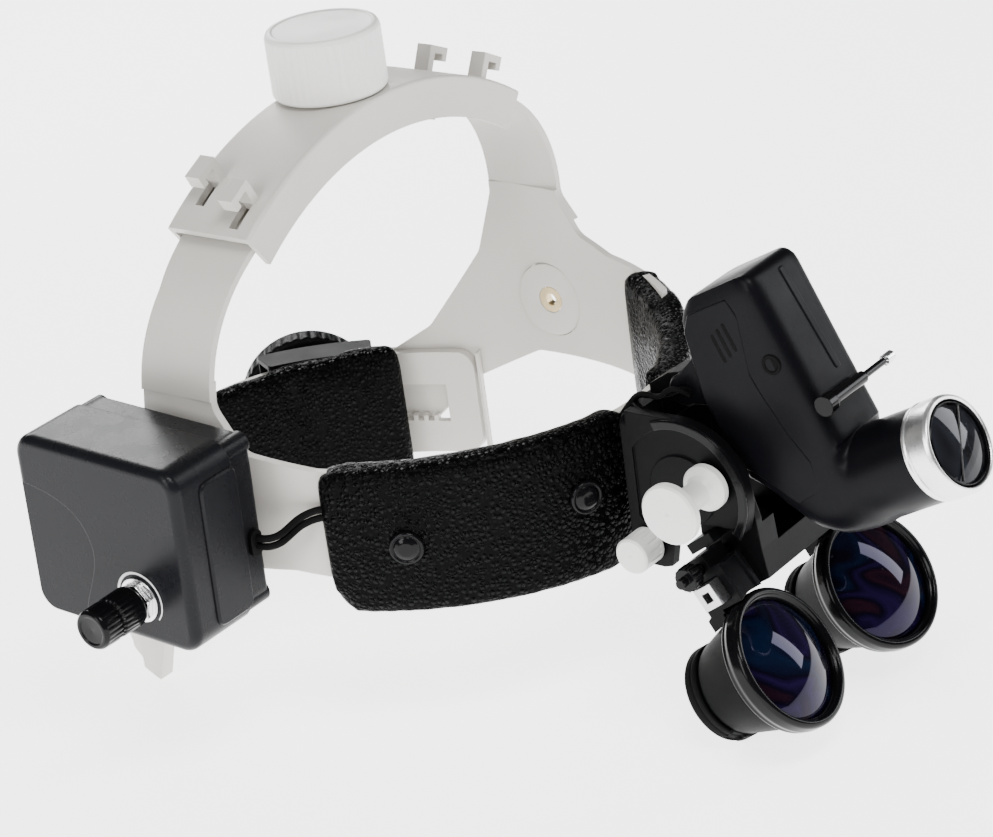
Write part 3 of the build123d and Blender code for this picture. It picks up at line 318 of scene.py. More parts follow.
def coated_lens(name, deep, sheen, reflection_tints, rough=0.03):
    """A coated lens: a dark body, painted reflections as drifting coloured streaks, and faint dust."""
    shader = Shader(name, deep, rough, specular=0.12, coat=0.03, coat_rough=0.02)
    shader.main.inputs["IOR"].default_value = 1.6
    shader.main.inputs["Specular Tint"].default_value = (*sheen, 1)
    stretch = shader.add("ShaderNodeMapping")
    stretch.inputs["Rotation"].default_value = (0.3, 0.4, 0.9)
    stretch.inputs["Scale"].default_value = (1.0, 0.45, 1.0)
    shader.link(shader.place, stretch.inputs["Vector"])
    drift = shader.noise(46, 1, 0.4, 0.9, stretch.outputs[0])
    # Painted reflections: tinted streaks of colour drift across the dark body in the base colour.
    stops = [(0.28, deep)]
    for number, reflection_tint in enumerate(reflection_tints):
        stops += [(0.36 + 0.11 * number, reflection_tint), (0.41 + 0.11 * number, deep)]
    shader.set("Base Color", shader.ramp(drift, *stops))
    dust = shader.spread(shader.noise(1500, 4, 0.7), 0.0, 1.0, 0.66, 0.74)
    shader.set("Roughness", shader.spread(dust, rough, rough * 5, 0.0, 1.0))
    shader.bump(dust, 0.000006)
    return shader.material


white = moulded("band_white", (0.52, 0.498, 0.460), 0.42, wear=0.25, wear_colour=(0.90, 0.89, 0.87),
                shift=0.025)
white_knob = moulded("knob_white", (0.74, 0.735, 0.71), 0.38, wear=0.3, wear_colour=(0.92, 0.91, 0.9),
                     shift=0.02)
leather = pebbled("leatherette", (0.0005, 0.0005, 0.0006), 0.2, depth=0.0006)
satin_black = moulded("satin_black", (0.003, 0.003, 0.0035), 0.34, wear=0.08,
                      wear_colour=(0.08, 0.08, 0.085), grain=0.00005, specular=0.05)
light_black = moulded("light_black", (0.003, 0.003, 0.004), 0.32, wear=0.12,
                      wear_colour=(0.10, 0.10, 0.105), grain=0.00003, specular=0.06)
gloss_black = moulded("gloss_black", (0.003, 0.003, 0.0035), 0.14, wear=0.06,
                      wear_colour=(0.08, 0.08, 0.08), grain=0.000008, coat=0.04, specular=0.10)
case_grey = moulded("case_grey", (0.006, 0.0062, 0.0075), 0.27, wear=0.05,
                    wear_colour=(0.04, 0.04, 0.045), grain=0.00006, specular=0.10, grain_scale=2100)
barrel_grey = moulded("barrel_grey", (0.003, 0.0032, 0.0032), 0.40, wear=0.04,
                      wear_colour=(0.04, 0.04, 0.04), grain=0.00004, specular=0.02, grain_scale=4200)
rubber = moulded("soft_rubber", (0.003, 0.003, 0.003), 0.6, wear=0.05,
                 wear_colour=(0.03, 0.03, 0.03), grain=0.00008, specular=0.05, grain_scale=1500)
steel = turned_metal("steel", (0.56, 0.56, 0.57), 0.28)
chrome = turned_metal("chrome", (0.82, 0.82, 0.83), 0.16, tarnish=0.06)
silver = turned_metal("silver_ring", (0.86, 0.86, 0.86), 0.30, tarnish=0.05)
brass = turned_metal("brass", (0.62, 0.50, 0.30), 0.30)
# The last tuple of each lens holds its painted reflection tints: brownish, violet and blue on the loupes, grey on
# the light's lens.
violet_glass = coated_lens("violet_glass", (0.0015, 0.001, 0.004), (0.62, 0.55, 1.0),
                           ((0.010, 0.003, 0.006), (0.006, 0.003, 0.020), (0.002, 0.005, 0.016)))
smoke_glass = coated_lens("smoke_glass", (0.006, 0.006, 0.007), (0.8, 0.82, 0.9),
                          ((0.016, 0.016, 0.018), (0.012, 0.013, 0.017)), 0.05)
board_green = moulded("board_green", (0.02, 0.14, 0.05), 0.35)
sleeve_blue = moulded("sleeve_blue", (0.03, 0.08, 0.30), 0.30)
phosphor = moulded("phosphor", (0.80, 0.62, 0.12), 0.5)
paint_white = moulded("paint_white", (0.80, 0.80, 0.80), 0.5)

# The pieces that keep their CAD shape, by finish.
kept = {
    white: ("side_frame_left", "side_frame_right", "front_band", "top_bridge", "top_pinion"),
    white_knob: ("flip_knob", "clamp_knob"),
    steel: ("band_rivets", "rear_pinion", "case_screws", "dimmer_pot", "bracket_screws", "slide_rail",
            "hinge_stubs", "clamp_bolt", "shell_screw", "tilt_pin"),
    chrome: ("lever_tip",),
    case_grey: ("battery_cover", "battery_base", "case_clip"),
    gloss_black: ("charging_socket", "gap_screw", "filter_lever", "lens_cell"),
    satin_black: ("rear_housing", "front_bracket", "loupe_arm", "carriage_left", "carriage_right"),
    rubber: ("lead_grommet", "power_lead"),
    sleeve_blue: ("battery_cells",),
    board_green: ("charge_board", "driver_board"),
    phosphor: ("led_emitter",),
    silver: ("heat_sink",),
}
for finish, names in kept.items():
    for name in names:
        data = nodes[name].data
        data.materials.clear()
        data.materials.append(finish)


# ---------------------------------------------------------------- mesh helpers
def attach(piece, body, stands_for):
    """Makes a piece ride on a body, in place of the nodes that it stands for."""
    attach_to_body(piece, body)
    if stands_for:
        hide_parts(*stands_for)


def recalculate(mesh):
    """Turns a mesh's faces so that they all look outwards."""
    tidy = bmesh.new()
    tidy.from_mesh(mesh)
    bmesh.ops.recalc_face_normals(tidy, faces=tidy.faces)
    tidy.to_mesh(mesh)
    tidy.free()


def finish_piece(mesh, name, finish, body, stands_for=(), sharp=32):
    """Makes a mesh into a smooth-shaded piece that rides on a body."""
    recalculate(mesh)
    mesh.shade_smooth()
    mesh.set_sharp_from_angle(angle=radians(sharp))
    mesh.materials.append(finish)
    piece = bpy.data.objects.new(name, mesh)
    scene.collection.objects.link(piece)
    attach(piece, body, stands_for)


def build(name, verts, faces, finish, body, stands_for=(), sharp=32):
    """Makes a piece from its points and faces."""
    mesh = bpy.data.meshes.new(name)
    mesh.from_pydata([tuple(vert) for vert in verts], [], faces)
    finish_piece(mesh, name, finish, body, stands_for, sharp)


def soften(profile, radius, closed=False, steps=4):
    """Rounds the corners of a profile by radius."""
    count = len(profile)
    result = []
    for number, spot in enumerate(profile):
        if not closed and number in (0, count - 1):
            result.append(spot)
            continue
        corner = Vector(spot)
        before = Vector(profile[number - 1]) - corner
        after = Vector(profile[(number + 1) % count]) - corner
        reach = min(radius, before.length * 0.45, after.length * 0.45)
        start = corner + before.normalized() * reach
        end = corner + after.normalized() * reach
        for step in range(steps + 1):
            part = step / steps
            first, second = start.lerp(corner, part), corner.lerp(end, part)
            result.append(tuple(first.lerp(second, part)))
    return result


def axes(facing):
    """A direction with two others square to it."""
    along = Vector(facing).normalized()
    across = along.orthogonal().normalized()
    return along, across, along.cross(across)


def lathe(name, profile, base, facing, finish, body, stands_for=(), segments=96, dent=None, sharp=32):
    """A turned piece: profile is (radius, height) in mm, from base along facing. dent shapes the rim."""
    along, across, third = axes(facing)
    verts, rings = [], []
    for radius, height in profile:
        if radius < 0.001:
            rings.append([len(verts)])
            verts.append(base + along * height / 1000)
            continue
        ring = []
        for step in range(segments):
            angle = 2 * pi * step / segments
            size = radius - (dent(angle, radius, height) if dent else 0)
            ring.append(len(verts))
            verts.append(base + along * height / 1000
                         + (across * cos(angle) + third * sin(angle)) * size / 1000)
        rings.append(ring)
    faces = []
    pairs = list(zip(rings, rings[1:]))
    if len(rings[0]) > 1 and len(rings[-1]) > 1:
        pairs.append((rings[-1], rings[0]))
    for first, second in pairs:
        for step in range(segments):
            nxt = (step + 1) % segments
            if len(first) == 1 and len(second) == 1:
                continue
            if len(first) == 1:
                faces.append((first[0], second[step], second[nxt]))
            elif len(second) == 1:
                faces.append((first[step], first[nxt], second[0]))
            else:
                faces.append((first[step], first[nxt], second[nxt], second[step]))
    build(name, verts, faces, finish, body, stands_for, sharp)


def flutes(count, depth, low, high, blend_in=1.2, power=2.0):
    """A rim of scallops between two heights that run out at their ends."""
    def dent(angle, radius, height):
        if height < low or height > high:
            return 0.0
        ends = min(1.0, (height - low) / blend_in, (high - height) / blend_in)
        wave = (0.5 + 0.5 * cos(count * angle)) ** power
        return depth * ends * wave
    return dent


def slab(name, outline, place, low, high, finish, body, stands_for=(), bevel=0.4):
    """A plate: outline is closed (a, b) points, and place(a, b, height) puts them in the frame."""
    levels = [(low, bevel), (low + bevel, 0)] if bevel else [(low, 0)]
    levels += [(high - bevel, 0), (high, bevel)] if bevel else [(high, 0)]
    count = len(outline)
    normals = []
    for number in range(count):
        along = Vector(outline[(number + 1) % count]) - Vector(outline[number - 1])
        normals.append(Vector((along.y, -along.x)).normalized())
    area = 0
    for (a, b), (next_a, next_b) in zip(outline, outline[1:] + outline[:1]):
        area += a * next_b - next_a * b
    sign = 1 if area > 0 else -1
    verts, rings = [], []
    for height, inset in levels:
        ring = []
        for spot, normal in zip(outline, normals):
            ring.append(len(verts))
            moved = Vector(spot) - normal * inset * sign
            verts.append(place(moved.x, moved.y, height))
        rings.append(ring)
    faces = [tuple(rings[0]), tuple(reversed(rings[-1]))]
    for first, second in zip(rings, rings[1:]):
        for step in range(count):
            nxt = (step + 1) % count
            faces.append((first[step], second[step], second[nxt], first[nxt]))
    build(name, verts, faces, finish, body, stands_for, 30)


def tube(name, points, radius, finish, body):
    """A wire that runs along a smooth curve."""
    curve = bpy.data.curves.new(name, "CURVE")
    curve.dimensions = "3D"
    curve.bevel_depth = radius / 1000
    curve.bevel_resolution = 5
    curve.use_fill_caps = True
    curve.resolution_u = 10
    spline = curve.splines.new("NURBS")
    spline.points.add(len(points) - 1)
    for point, target in zip(spline.points, points):
        point.co = (*target, 1)
    spline.order_u = 3
    spline.use_endpoint_u = True
    curve.materials.append(finish)
    piece = bpy.data.objects.new(name, curve)
    scene.collection.objects.link(piece)
    attach(piece, body, ())


def joint_place(name):
    """A joint's place and its axis, from the record."""
    joint = joints[name]
    return Vector(joint["pos_m"]), Vector(joint["axis"]).normalized()


# ---------------------------------------------------------------- knobs
top_base, top_axis = joint_place("top_knob_turn")
lathe("top_knob_body",
      soften([(0, 0.02), (17.2, 0.02), (17.8, 0.9), (17.8, 18.6), (17.0, 20.2), (15.6, 20.4), (15.2, 20.0),
              (0, 20.0)], 0.6),
      top_base, top_axis, white_knob, "top_knob", ["top_knob"], 264, flutes(44, 0.5, 0.8, 18.9))

rear_base, rear_axis = joint_place("rear_knob_turn")
lathe("rear_knob_body",
      soften([(3.0, 5.85), (22.6, 5.85), (24.0, 7.0), (24.0, 12.8), (23.3, 15.4), (20.8, 17.6), (16.0, 18.7),
              (12.6, 19.0), (12.2, 18.6), (10.8, 18.6), (10.4, 19.2), (6.0, 19.5), (0, 19.6), (0, 7.2),
              (3.0, 7.2)], 1.4),
      rear_base, rear_axis, satin_black, "rear_knob", ["rear_knob"], 320, flutes(40, 0.45, 5.9, 13.6, 2.0))

dimmer_base, dimmer_axis = joint_place("dimmer_turn")
lathe("dimmer_knob_body",
      soften([(2.5, 14), (2.5, 3.6), (5.6, 3.6), (6.4, 4.6), (6.3, 12.4), (5.9, 13.0), (5.9, 13.6), (6.3, 14.2),
              (6.2, 20.0), (5.5, 21.0), (4.4, 21.0), (4.2, 20.6), (0, 20.6), (0, 14)], 0.3),
      dimmer_base, dimmer_axis, gloss_black, "dimmer", ["dimmer_knob"], 240, flutes(24, 0.45, 5.6, 19.6, 0.8))
lathe("dimmer_shaft", soften([(0, -5.9), (2.5, -5.9), (2.5, 14.2), (0, 14.2)], 0.2), dimmer_base,
      dimmer_axis, steel, "dimmer")
lathe("dimmer_washer", soften([(3.6, 0.02), (7.0, 0.02), (7.0, 0.9), (3.6, 0.9)], 0.2, True), dimmer_base,
      dimmer_axis, chrome, "headband", ["dimmer_nut"])


def hexagon(angle, radius, height):
    """Cuts a nut's six flats out of a round rim."""
    if radius < 5:
        return 0.0
    sector = (angle % (pi / 3)) - pi / 6
    return radius - min(radius, 5.35 / cos(sector))


nut_profile = [(3.6, 0.95), (5.7, 0.95), (6.1, 1.25), (6.1, 2.65), (5.7, 2.95), (3.6, 2.95)]
lathe("dimmer_hex", nut_profile, dimmer_base, dimmer_axis, chrome, "headband", dent=hexagon, sharp=24)

# ---------------------------------------------------------------- snaps, hubs and printed mark
snap_profile = soften([(0, 0), (5.3, 0), (5.3, 0.9), (4.9, 1.5), (4.3, 1.5), (4.0, 1.1), (3.5, 1.6),
                       (2.2, 2.2), (0, 2.4)], 0.35)
snap_places = [(217.5, -9, "rear"), (250, -4, "front"), (290, -4, "far_front"), (318, 6, "far")]
for number, (turn, height, word) in enumerate(snap_places):
    lathe(f"snap_{word}", snap_profile, plan_point(turn, 3.8, height), plan_facing(turn), gloss_black, "headband",
          ["pad_snaps"] if number == 0 else (), 72)



def star(angle, radius, height):
    """Cuts six scallops into the head of a hub's insert."""
    return 0.8 * (0.5 + 0.5 * cos(6 * angle)) if radius > 3.2 and height > 1 else 0.0


for side, setback, word in ((1, 0, "left"), (-1, 12, "right")):
    base = at(side * 80.6, setback, 0)
    facing = (side, 0, 0)
    lathe(f"hub_plate_{word}",
          soften([(4.6, 0), (12.75, 0), (12.75, 2.1), (11.4, 2.1), (10.9, 1.5), (8.6, 1.5), (8.1, 2.3),
                  (4.6, 2.3)], 0.3, True),
          base, facing, white, "headband", ["hub_caps"] if side > 0 else ())
    lathe(f"hub_insert_{word}",
          [(2.1, 0.2), (4.5, 0.2), (4.5, 2.2), (4.5, 3.4), (4.1, 3.9), (2.9, 3.9), (2.5, 3.4), (2.1, 3.4)],
          base, facing, brass, "headband", dent=star, sharp=28)

# The battery case's own directions: out of its face, forward along its length, and up its height.
case_normal = Vector((-1, 0, 0))
pitch = radians(2.4)
case_forward = Vector((0, -cos(pitch), -sin(pitch)))
case_up = case_normal.cross(case_forward)
dimmer_forward, dimmer_upward = 11.8, -14.8
case_middle = dimmer_base - case_forward * dimmer_forward / 1000 - case_up * dimmer_upward / 1000


def case_place(forward, upward, out):
    """A point on the battery case, in mm from the middle of its face."""
    return case_middle + case_forward * forward / 1000 + case_up * upward / 1000 + case_normal * out / 1000


def arc_band(radius, width, first, last, steps=40):
    """A band round a circle that widens from its first angle to its last."""
    outer, inner = [], []
    for step in range(steps + 1):
        angle = radians(first + (last - first) * step / steps)
        grow = 0.35 + 0.65 * step / steps
        outer.append((radius * cos(angle) + width * grow * cos(angle), (radius + width * grow) * sin(angle)))
        inner.append((radius * cos(angle), radius * sin(angle)))
    return outer + inner[::-1]


mark = [(dimmer_forward + a, dimmer_upward + b) for a, b in arc_band(8.0, 1.1, -40, 215)]
slab("dimmer_scale", mark, case_place, -0.02, 0.05, paint_white, "headband", bevel=0)
side_panel = soften([(-25.0, -24.0), (-9.5, -24.0), (-9.5, 22.5), (-25.0, 22.5)], 3.4, True)
case_half_length = 32.0
slab("case_side_panel", side_panel, lambda a, b, h: case_place(case_half_length + h, b, a), -1.6, 1.0,
     case_grey, "headband", bevel=0.6)

# The raised rims on the outer faces of the front bracket's cheeks.
cheek_outer, cheek_middle_y, cheek_middle_z = 22.0, -121, -0.5
rim_outer, rim_inner = 22.5, 19.4
cheek_arc = []
for radius, steps in ((rim_outer, range(-32, 115, 6)), (rim_inner, range(112, -35, -6))):
    cheek_arc += [(radius * cos(radians(step)), radius * sin(radians(step))) for step in steps]


def cheek_place(side):
    """Puts (a, b, height) points on a cheek: a forward and b up from the rim's middle."""
    return lambda a, b, h: at(side * (cheek_outer + h), cheek_middle_y - a, b + cheek_middle_z)


for side, word in ((-1, "right"), (1, "left")):
    slab(f"cheek_rim_{word}", cheek_arc, cheek_place(side), -0.3, 0.9, gloss_black, "headband")

# Two short wires that cross from the pad to the light.
for number, shift in enumerate((0.0, 2.4)):
    route = [(-12 + shift, -95, 15), (-14 + shift, -101, 22.5), (-15 + shift, -106, 25.4 - shift),
             (-15 + shift, -111, 24.0), (-14 + shift, -114.5, 27.6 - shift), (-12.6 + shift, -117.5, 27),
             (-10.6 + shift, -119, 25)]
    tube(f"light_wire_{number + 1}", [at(*spot) for spot in route], 0.75, rubber, "headband")

# ---------------------------------------------------------------- light and loupe pieces
beam = Vector(mounts["light_rim"]["axis"]).normalized()
light_base = Vector(joints["focus_turn"]["pos_m"])
light_lean = radians(27.5)
light_up = Vector((0, sin(light_lean), cos(light_lean)))


def light_place(s, t, x):
    """A point beside the light: s behind the lens along the beam, t above the beam, x sideways."""
    return light_base - beam * s / 1000 + light_up * t / 1000 + Vector((x / 1000, 0, 0))


def section(start, end, half, square, count=72):
    """A ring across the light's body between two points of its side view, as a rounded box."""
    ring = []
    first, last = Vector(start), Vector(end)
    middle, reach = (first + last) / 2, (last - first) / 2
    for step in range(count):
        angle = 2 * pi * step / count
        c, s = cos(angle), sin(angle)
        wide = abs(c) ** (2 / square) * (1 if c > 0 else -1)
        deep = abs(s) ** (2 / square) * (1 if s > 0 else -1)
        spot = middle + reach * deep
        ring.append(light_place(spot.x, spot.y, half * wide))
    return ring


def fan(angle):
    """How far the elbow's outside is from its inside corner."""
    reaches = [(-90, 28.0), (-75, 29.4), (-60, 30.9), (-45, 31.2), (-30, 30.4), (-15, 31.0), (-6, 33.0),
               (0, 36.0)]
    for (first_angle, first_reach), (last_angle, last_reach) in zip(reaches, reaches[1:]):
        if first_angle <= angle <= last_angle:
            part = (angle - first_angle) / (last_angle - first_angle)
            return first_reach + (last_reach - first_reach) * part
    return reaches[-1][1]


# The light's shell: a round snout, an elbow, and a squarer body up to its rounded top.
rings = [section((depth, 14), (depth, -14), 14.0, 2.0) for depth in (8.7, 9.3, 14, 20, 25)]
for number in range(13):
    angle = -90 + 7.5 * number
    part = number / 12
    reach = fan(angle)
    corner = Vector((28.0, 14.0))
    outside = corner + Vector((cos(radians(angle)), sin(radians(angle)))) * reach
    rings.append(section(tuple(corner), tuple(outside), 14.0 - 0.5 * part, 2.0 + 5.5 * part ** 1.5))
body_levels = [(18, 28, 64.4), (26, 28, 64.5), (34, 28, 64.5), (41, 28, 64.3), (48, 28, 62.8), (55, 28, 61),
               (60, 28, 59.6), (63, 28, 58.4), (65.2, 28.1, 56.8), (66.8, 28.8, 55.0), (67.8, 29.8, 53.6),
               (68.3, 31.2, 52)]
for level, front, rear in body_levels:
    rings.append(section((front, level), (rear, level), 13.5 - max(0, (level - 64)) * 0.28, 7.5))
verts = [vert for ring in rings for vert in ring]
count = len(rings[0])
faces = []
for first in range(0, count * (len(rings) - 1), count):
    for step in range(count):
        nxt = (step + 1) % count
        faces.append((first + step, first + nxt, first + count + nxt, first + count + step))
faces.append(tuple(range(count)))
faces.append(tuple(reversed(range((len(rings) - 1) * count, len(rings) * count))))
build("light_shell", verts, faces, light_black, "headlight",
      ["headlight_shell_right", "headlight_shell_left"], 38)

# Ears that carry the light on its tilt pin.
offset = joint_place("headlight_tilt")[0] - light_base
ear_s, ear_t = -offset.dot(beam) * 1000, offset.dot(light_up) * 1000
ear_outline = [(60, ear_t - 9), (ear_s - 1, ear_t - 5)]
for step in range(13):
    angle = radians(-90 + 15 * step)
    ear_outline.append((ear_s + 5 * cos(angle), ear_t + 5 * sin(angle)))
ear_outline += [(ear_s - 1, ear_t + 5), (60, ear_t + 9)]
for low, high, word in ((-9.5, -5.5, "right"), (4.9, 8.9, "left")):
    slab(f"light_ear_{word}", ear_outline, light_place, low, high, light_black, "headlight", bevel=0.5)

# The raised panels on the light's sides, the strip on its front, and its vents.
panel = soften([(38.2, 64.2), (37.4, 58.5), (43.2, 42), (42.9, 36), (41.4, 23), (38.5, 12), (41, 3), (50, 2),
                (58.6, 14.5), (62.6, 18), (62.7, 40.5), (57.6, 60.2), (53.6, 64.4)], 1.2, True)


def light_side(side, out):
    """Puts (a, b, height) points on one side of the light, out from its middle plane."""
    return lambda a, b, h: light_place(a, b, side * (out + h))


for side, word in ((-1, "right"), (1, "left")):
    slab(f"light_panel_{word}", panel, light_side(side, 12.9), 0, 0.85, light_black, "headlight", bevel=0.35)
    for number in range(3):
        s0, t0 = 43.4 + 2.7 * number, 53.8 - 0.9 * number
        slot_shape = []
        for step in range(17):
            angle = radians(-4 + 180 * step / 16)
            slot_shape.append((s0 + 0.62 * cos(angle), t0 + 3.9 + 0.62 * sin(angle)))
        for step in range(17):
            angle = radians(176 + 180 * step / 16)
            slot_shape.append((s0 + 0.62 * cos(angle), t0 - 3.9 + 0.62 * sin(angle)))
        slab(f"light_vent_{word}_{number + 1}", slot_shape, light_side(side, 13.72), -0.5, 0.06, rubber,
             "headlight", bevel=0)
lathe("screw_well",
      soften([(0, 0), (1.9, 0), (2.2, 0.4), (2.9, 0.4), (3.1, 0.15), (3.1, -0.4), (0, -0.4)], 0.1),
      light_place(34.7, 42.1, -13.42), (-1, 0, 0), rubber, "headlight")
strip = soften([(-1.4, 31.5), (1.4, 31.5), (1.4, 64.6), (-1.4, 64.6)], 1.2, True)
slab("light_strip", strip, lambda a, b, h: light_place(28.0 - h, b, a + 2.0 + (64.6 - b) * 0.06), -0.6, 0.35,
     light_black, "headlight", bevel=0.3)

# The bright ring, the lens behind it and its cell.
ring_profile = soften([(12.9, -2.6), (13.35, -2.6), (13.35, -8.5), (14.4, -8.5), (14.4, -7.6), (14.15, -7.2),
                       (14.15, -6.6), (14.4, -6.2), (14.4, -0.6), (13.9, 0.6), (13.2, 0.95), (12.6, 0.5)],
                      0.25, True)
lathe("focus_ring_body", ring_profile, light_base, beam, silver, "focus_ring", ["focus_ring"], 144)
lens_profile = [(0, -1.45), (11.6, -1.45), (11.65, -0.6)]
for step in range(1, 13):
    radius = 11.65 * (1 - step / 12)
    lens_profile.append((radius, -0.5 + sqrt(52 ** 2 - radius ** 2) - sqrt(52 ** 2 - 11.65 ** 2)))
lathe("light_lens_body", lens_profile, light_base, beam, smoke_glass, "light_lens", ["light_lens"], 96)
slab("light_divider", soften([(-11.2, -0.35), (11.2, -0.35), (11.2, 0.35), (-11.2, 0.35)], 0.2, True),
     lambda a, b, h: light_place(-h, a * 0.80 + b * 0.6, a * 0.60 - b * 0.8), 0.2, 0.95, gloss_black,
     "light_lens", bevel=0.15)

# Loupes.
rise, toe = radians(35.2), radians(5.0)
length = 30.4
rim_half_gap, rim_y, rim_z = 25.6, -156.2, -44.7


def notch(angle, radius, height):
    """Cuts a small notch out of an eyecup's rim."""
    near = abs(((angle + pi) % (2 * pi)) - pi) * radius
    return 0.9 if near < 2.6 and radius > 14 and height > -length + 0.5 else 0.0


for side, hand in ((1, "left"), (-1, "right")):
    body = f"loupe_{hand}"
    base = at(side * rim_half_gap, rim_y, rim_z)
    facing = Vector((-side * sin(toe), -cos(rise) * cos(toe), sin(rise) * cos(toe)))
    lathe(f"barrel_{hand}",
          soften([(18.4, -7.6), (19.6, -7.6), (18.9, -8.4), (18.7, -9.4), (14.75, -23.4), (14.3, -24.4),
                  (13.5, -25.0), (13.5, -29.4), (12.0, -29.4), (12.0, -24.6), (17.0, -12), (17.0, -10)],
                 0.35, True),
          base, facing, barrel_grey, body, [f"loupe_barrel_{hand}"], 120)
    lathe(f"bezel_{hand}",
          soften([(17.2, -7.5), (20.4, -7.5), (21.2, -6.8), (21.2, -5.6), (21.5, -4.9), (21.8, -4.2), (21.8, -1.2),
                  (21.2, -0.2), (20.2, 0), (19.7, -0.2), (19.3, -1.0), (18.9, -1.2), (18.5, -2.2), (18.4, -5.4),
                  (17.2, -5.4)], 0.45, True),
          base, facing, gloss_black, body, [f"loupe_bezel_{hand}"], 144)
    crown = sqrt(38.0 ** 2 - 18.3 ** 2)
    glass = [(0, -5.3), (18.2, -5.3), (18.3, -2.7)]
    for step in range(1, 17):
        radius = 18.3 * (1 - step / 16)
        glass.append((radius, -2.6 + sqrt(38.0 ** 2 - radius ** 2) - crown))
    lathe(f"objective_{hand}", glass, base, facing, violet_glass, body, [f"objective_lens_{hand}"], 120)
    lathe(f"eyecup_{hand}",
          soften([(12.2, -length), (14.2, -length), (14.9, -length + 0.9), (14.9, -27.6), (14.6, -27.2),
                  (14.9, -26.8), (14.9, -25.6), (14.5, -25.3), (13.52, -25.3), (13.52, -29.42), (10.4, -29.42),
                  (10.4, -length + 0.4)], 0.3, True),
          base, facing, rubber, body, [f"eyepiece_ring_{hand}"], 144, notch)
    ocular = [(0, -28.2), (6, -28.15), (9.0, -28.0), (11.9, -27.4), (11.9, -25.4), (9, -24.9), (5, -24.75),
              (0, -24.7)]
    lathe(f"ocular_{hand}", ocular, base, facing, violet_glass, body, [f"eyepiece_lens_{hand}"], 96)


# ---------------------------------------------------------------- pads
def soft_block(name, first, last, low, high, inner, outer, columns, rows):
    """A closed block that follows the plan; low and high give its edges in mm for a part from 0 to 1."""
    grid = {}
    verts, faces = [], []
    for layer, outset in enumerate((outer, inner)):
        for column in range(columns + 1):
            part = column / columns
            turn = first + (last - first) * part
            for row in range(rows + 1):
                rise_part = row / rows
                z = low(part) + (high(part) - low(part)) * rise_part
                grid[layer, column, row] = len(verts)
                verts.append(plan_point(turn, outset, z))
    for layer in (0, 1):
        for column in range(columns):
            for row in range(rows):
                face = [grid[layer, column, row], grid[layer, column + 1, row],
                        grid[layer, column + 1, row + 1], grid[layer, column, row + 1]]
                faces.append(tuple(face if layer == 0 else reversed(face)))
    rim = [(column, 0) for column in range(columns)] + [(columns, row) for row in range(rows)]
    rim += [(column, rows) for column in range(columns, 0, -1)] + [(0, row) for row in range(rows, 0, -1)]
    for spot, after in zip(rim, rim[1:] + rim[:1]):
        faces.append((grid[0, *spot], grid[1, *spot], grid[1, *after], grid[0, *after]))
    mesh = bpy.data.meshes.new(name)
    mesh.from_pydata([tuple(vert) for vert in verts], [], faces)
    recalculate(mesh)
    return mesh


def applied(piece):
    """Bakes a piece's modifiers into its mesh."""
    graph = bpy.context.evaluated_depsgraph_get()
    mesh = bpy.data.meshes.new_from_object(piece.evaluated_get(graph))
    piece.modifiers.clear()
    old = piece.data
    piece.data = mesh
    bpy.data.meshes.remove(old)


def cushion(name, mesh, node, body, finish, voxel, cap, pressure, relax=6):
    """Leatherette over foam: remeshed, inflated by a cloth simulation with a limit, and subdivided."""
    piece = bpy.data.objects.new(name, mesh)
    scene.collection.objects.link(piece)
    remesh = piece.modifiers.new("remesh", "REMESH")
    remesh.mode = "VOXEL"
    remesh.voxel_size = voxel / 1000
    smooth = piece.modifiers.new("relax", "SMOOTH")
    smooth.iterations = relax
    smooth.factor = 0.5
    applied(piece)
    rest = [vert.co.copy() for vert in piece.data.vertices]
    cloth = piece.modifiers.new("cloth", "CLOTH")
    cloth.settings.quality = 5
    cloth.settings.use_pressure = True
    cloth.settings.uniform_pressure_force = pressure
    cloth.settings.effector_weights.gravity = 0
    cloth.settings.tension_stiffness = 18
    cloth.settings.compression_stiffness = 12
    cloth.settings.bending_stiffness = 0.8
    cloth.point_cache.frame_start = 1
    cloth.point_cache.frame_end = 20
    for number in range(1, 21):
        scene.frame_set(number)
    graph = bpy.context.evaluated_depsgraph_get()
    swollen = piece.evaluated_get(graph).data
    moved = [vert.co.copy() for vert in swollen.vertices]
    piece.modifiers.clear()
    scene.frame_set(1)
    for vert, before, after in zip(piece.data.vertices, rest, moved):
        step = after - before
        if step.length > cap / 1000:
            step = step.normalized() * cap / 1000
        vert.co = before + step
    divide = piece.modifiers.new("divide", "SUBSURF")
    divide.levels = divide.render_levels = 1
    applied(piece)
    piece.data.shade_smooth()
    piece.data.materials.clear()
    piece.data.materials.append(finish)
    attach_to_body(piece, body)
    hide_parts(node)


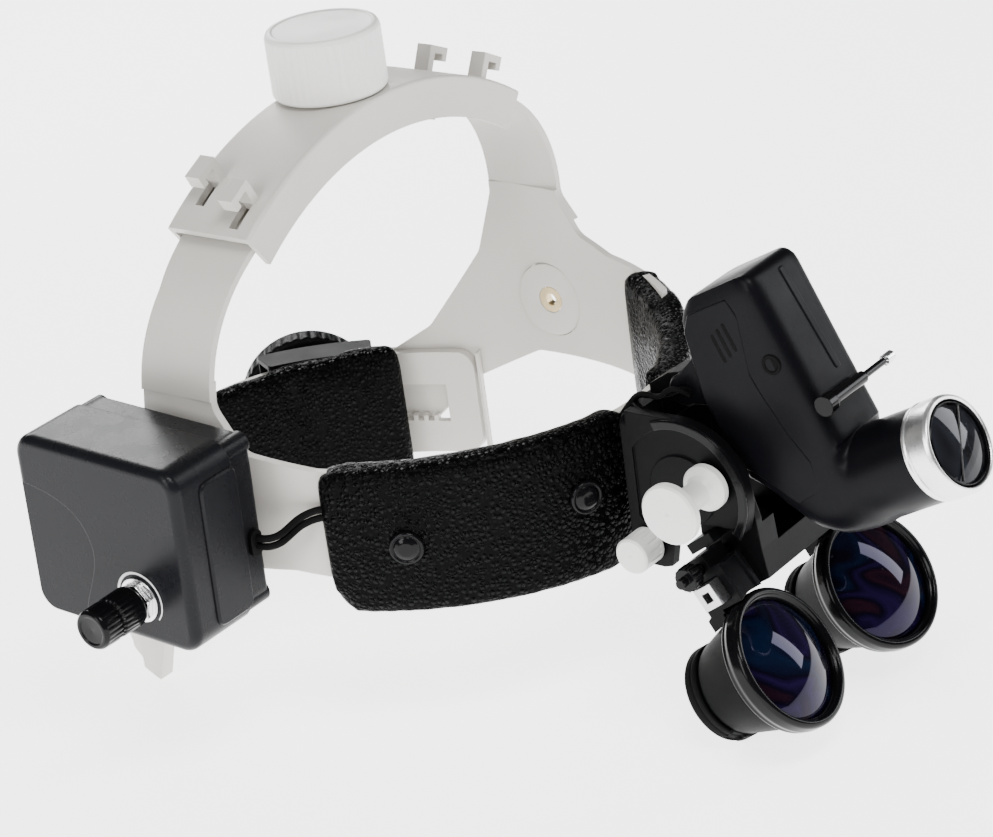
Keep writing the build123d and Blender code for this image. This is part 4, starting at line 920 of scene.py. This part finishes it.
def corner(part, size, reach):
    """How much a corner of that size, in mm, takes off an edge, at a distance from the end."""
    gap = part * reach
    return 0.0 if gap >= size else size - sqrt(max(0, size ** 2 - (size - gap) ** 2))


right_pad = soft_block(
    "pad_right_start", 203.6, 263.5,
    lambda part: -32.0 + corner(part, 11, 108) + corner(1 - part, 15, 108),
    lambda part: 14.6 + 2.6 * min(1, part * 2.2) - corner(part, 2.5, 108) - corner(1 - part, 4, 108),
    -7.6, 3.2, 44, 14)
cushion("front_pad_right_body", right_pad, "front_pad_right", "headband", leather, 2.4, 1.6, 3.0)
left_pad = soft_block(
    "pad_left_start", 276.5, 327.5,
    lambda part: -32.0 + corner(part, 12, 92) + corner(1 - part, 12, 92),
    lambda part: 17.4 + 5.5 * max(0, part - 0.45) / 0.55 - corner(part, 4, 92) - corner(1 - part, 3, 92),
    -7.6, 3.2, 40, 14)
cushion("front_pad_left_body", left_pad, "front_pad_left", "headband", leather, 2.4, 1.6, 3.0)
rear_pad = soft_block(
    "pad_rear_start", 28.0, 78.5,
    lambda part: -71.8 + corner(part, 7, 82) + corner(1 - part, 7, 82),
    lambda part: -15.4 - 7.6 * part ** 0.65 - corner(part, 7, 82) - corner(1 - part, 5, 82),
    -18.0, -10.4, 40, 22)
cushion("rear_pad_body", rear_pad, "rear_pad", "headband", leather, 2.4, 1.6, 3.0)

# ---------------------------------------------------------------- floor
floor_mesh = bpy.data.meshes.new("floor")
floor_mesh.from_pydata([(-6, -6, 0), (6, -6, 0), (6, 6, 0), (-6, 6, 0)], [], [(0, 1, 2, 3)])
floor = bpy.data.objects.new("floor", floor_mesh)
scene.collection.objects.link(floor)
paper = Shader("paper", (0.93, 0.93, 0.93), 0.85, specular=0.2)
paper.main.inputs["Emission Color"].default_value = (1, 1, 1, 1)
paper.main.inputs["Emission Strength"].default_value = 3.0
paper_tones = [(0.3, (0.925, 0.925, 0.925)), (0.7, (0.94, 0.94, 0.94))]
paper.set("Base Color", paper.ramp(paper.noise(3, 2), *paper_tones))
floor_mesh.materials.append(paper.material)
floor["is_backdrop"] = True

low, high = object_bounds()
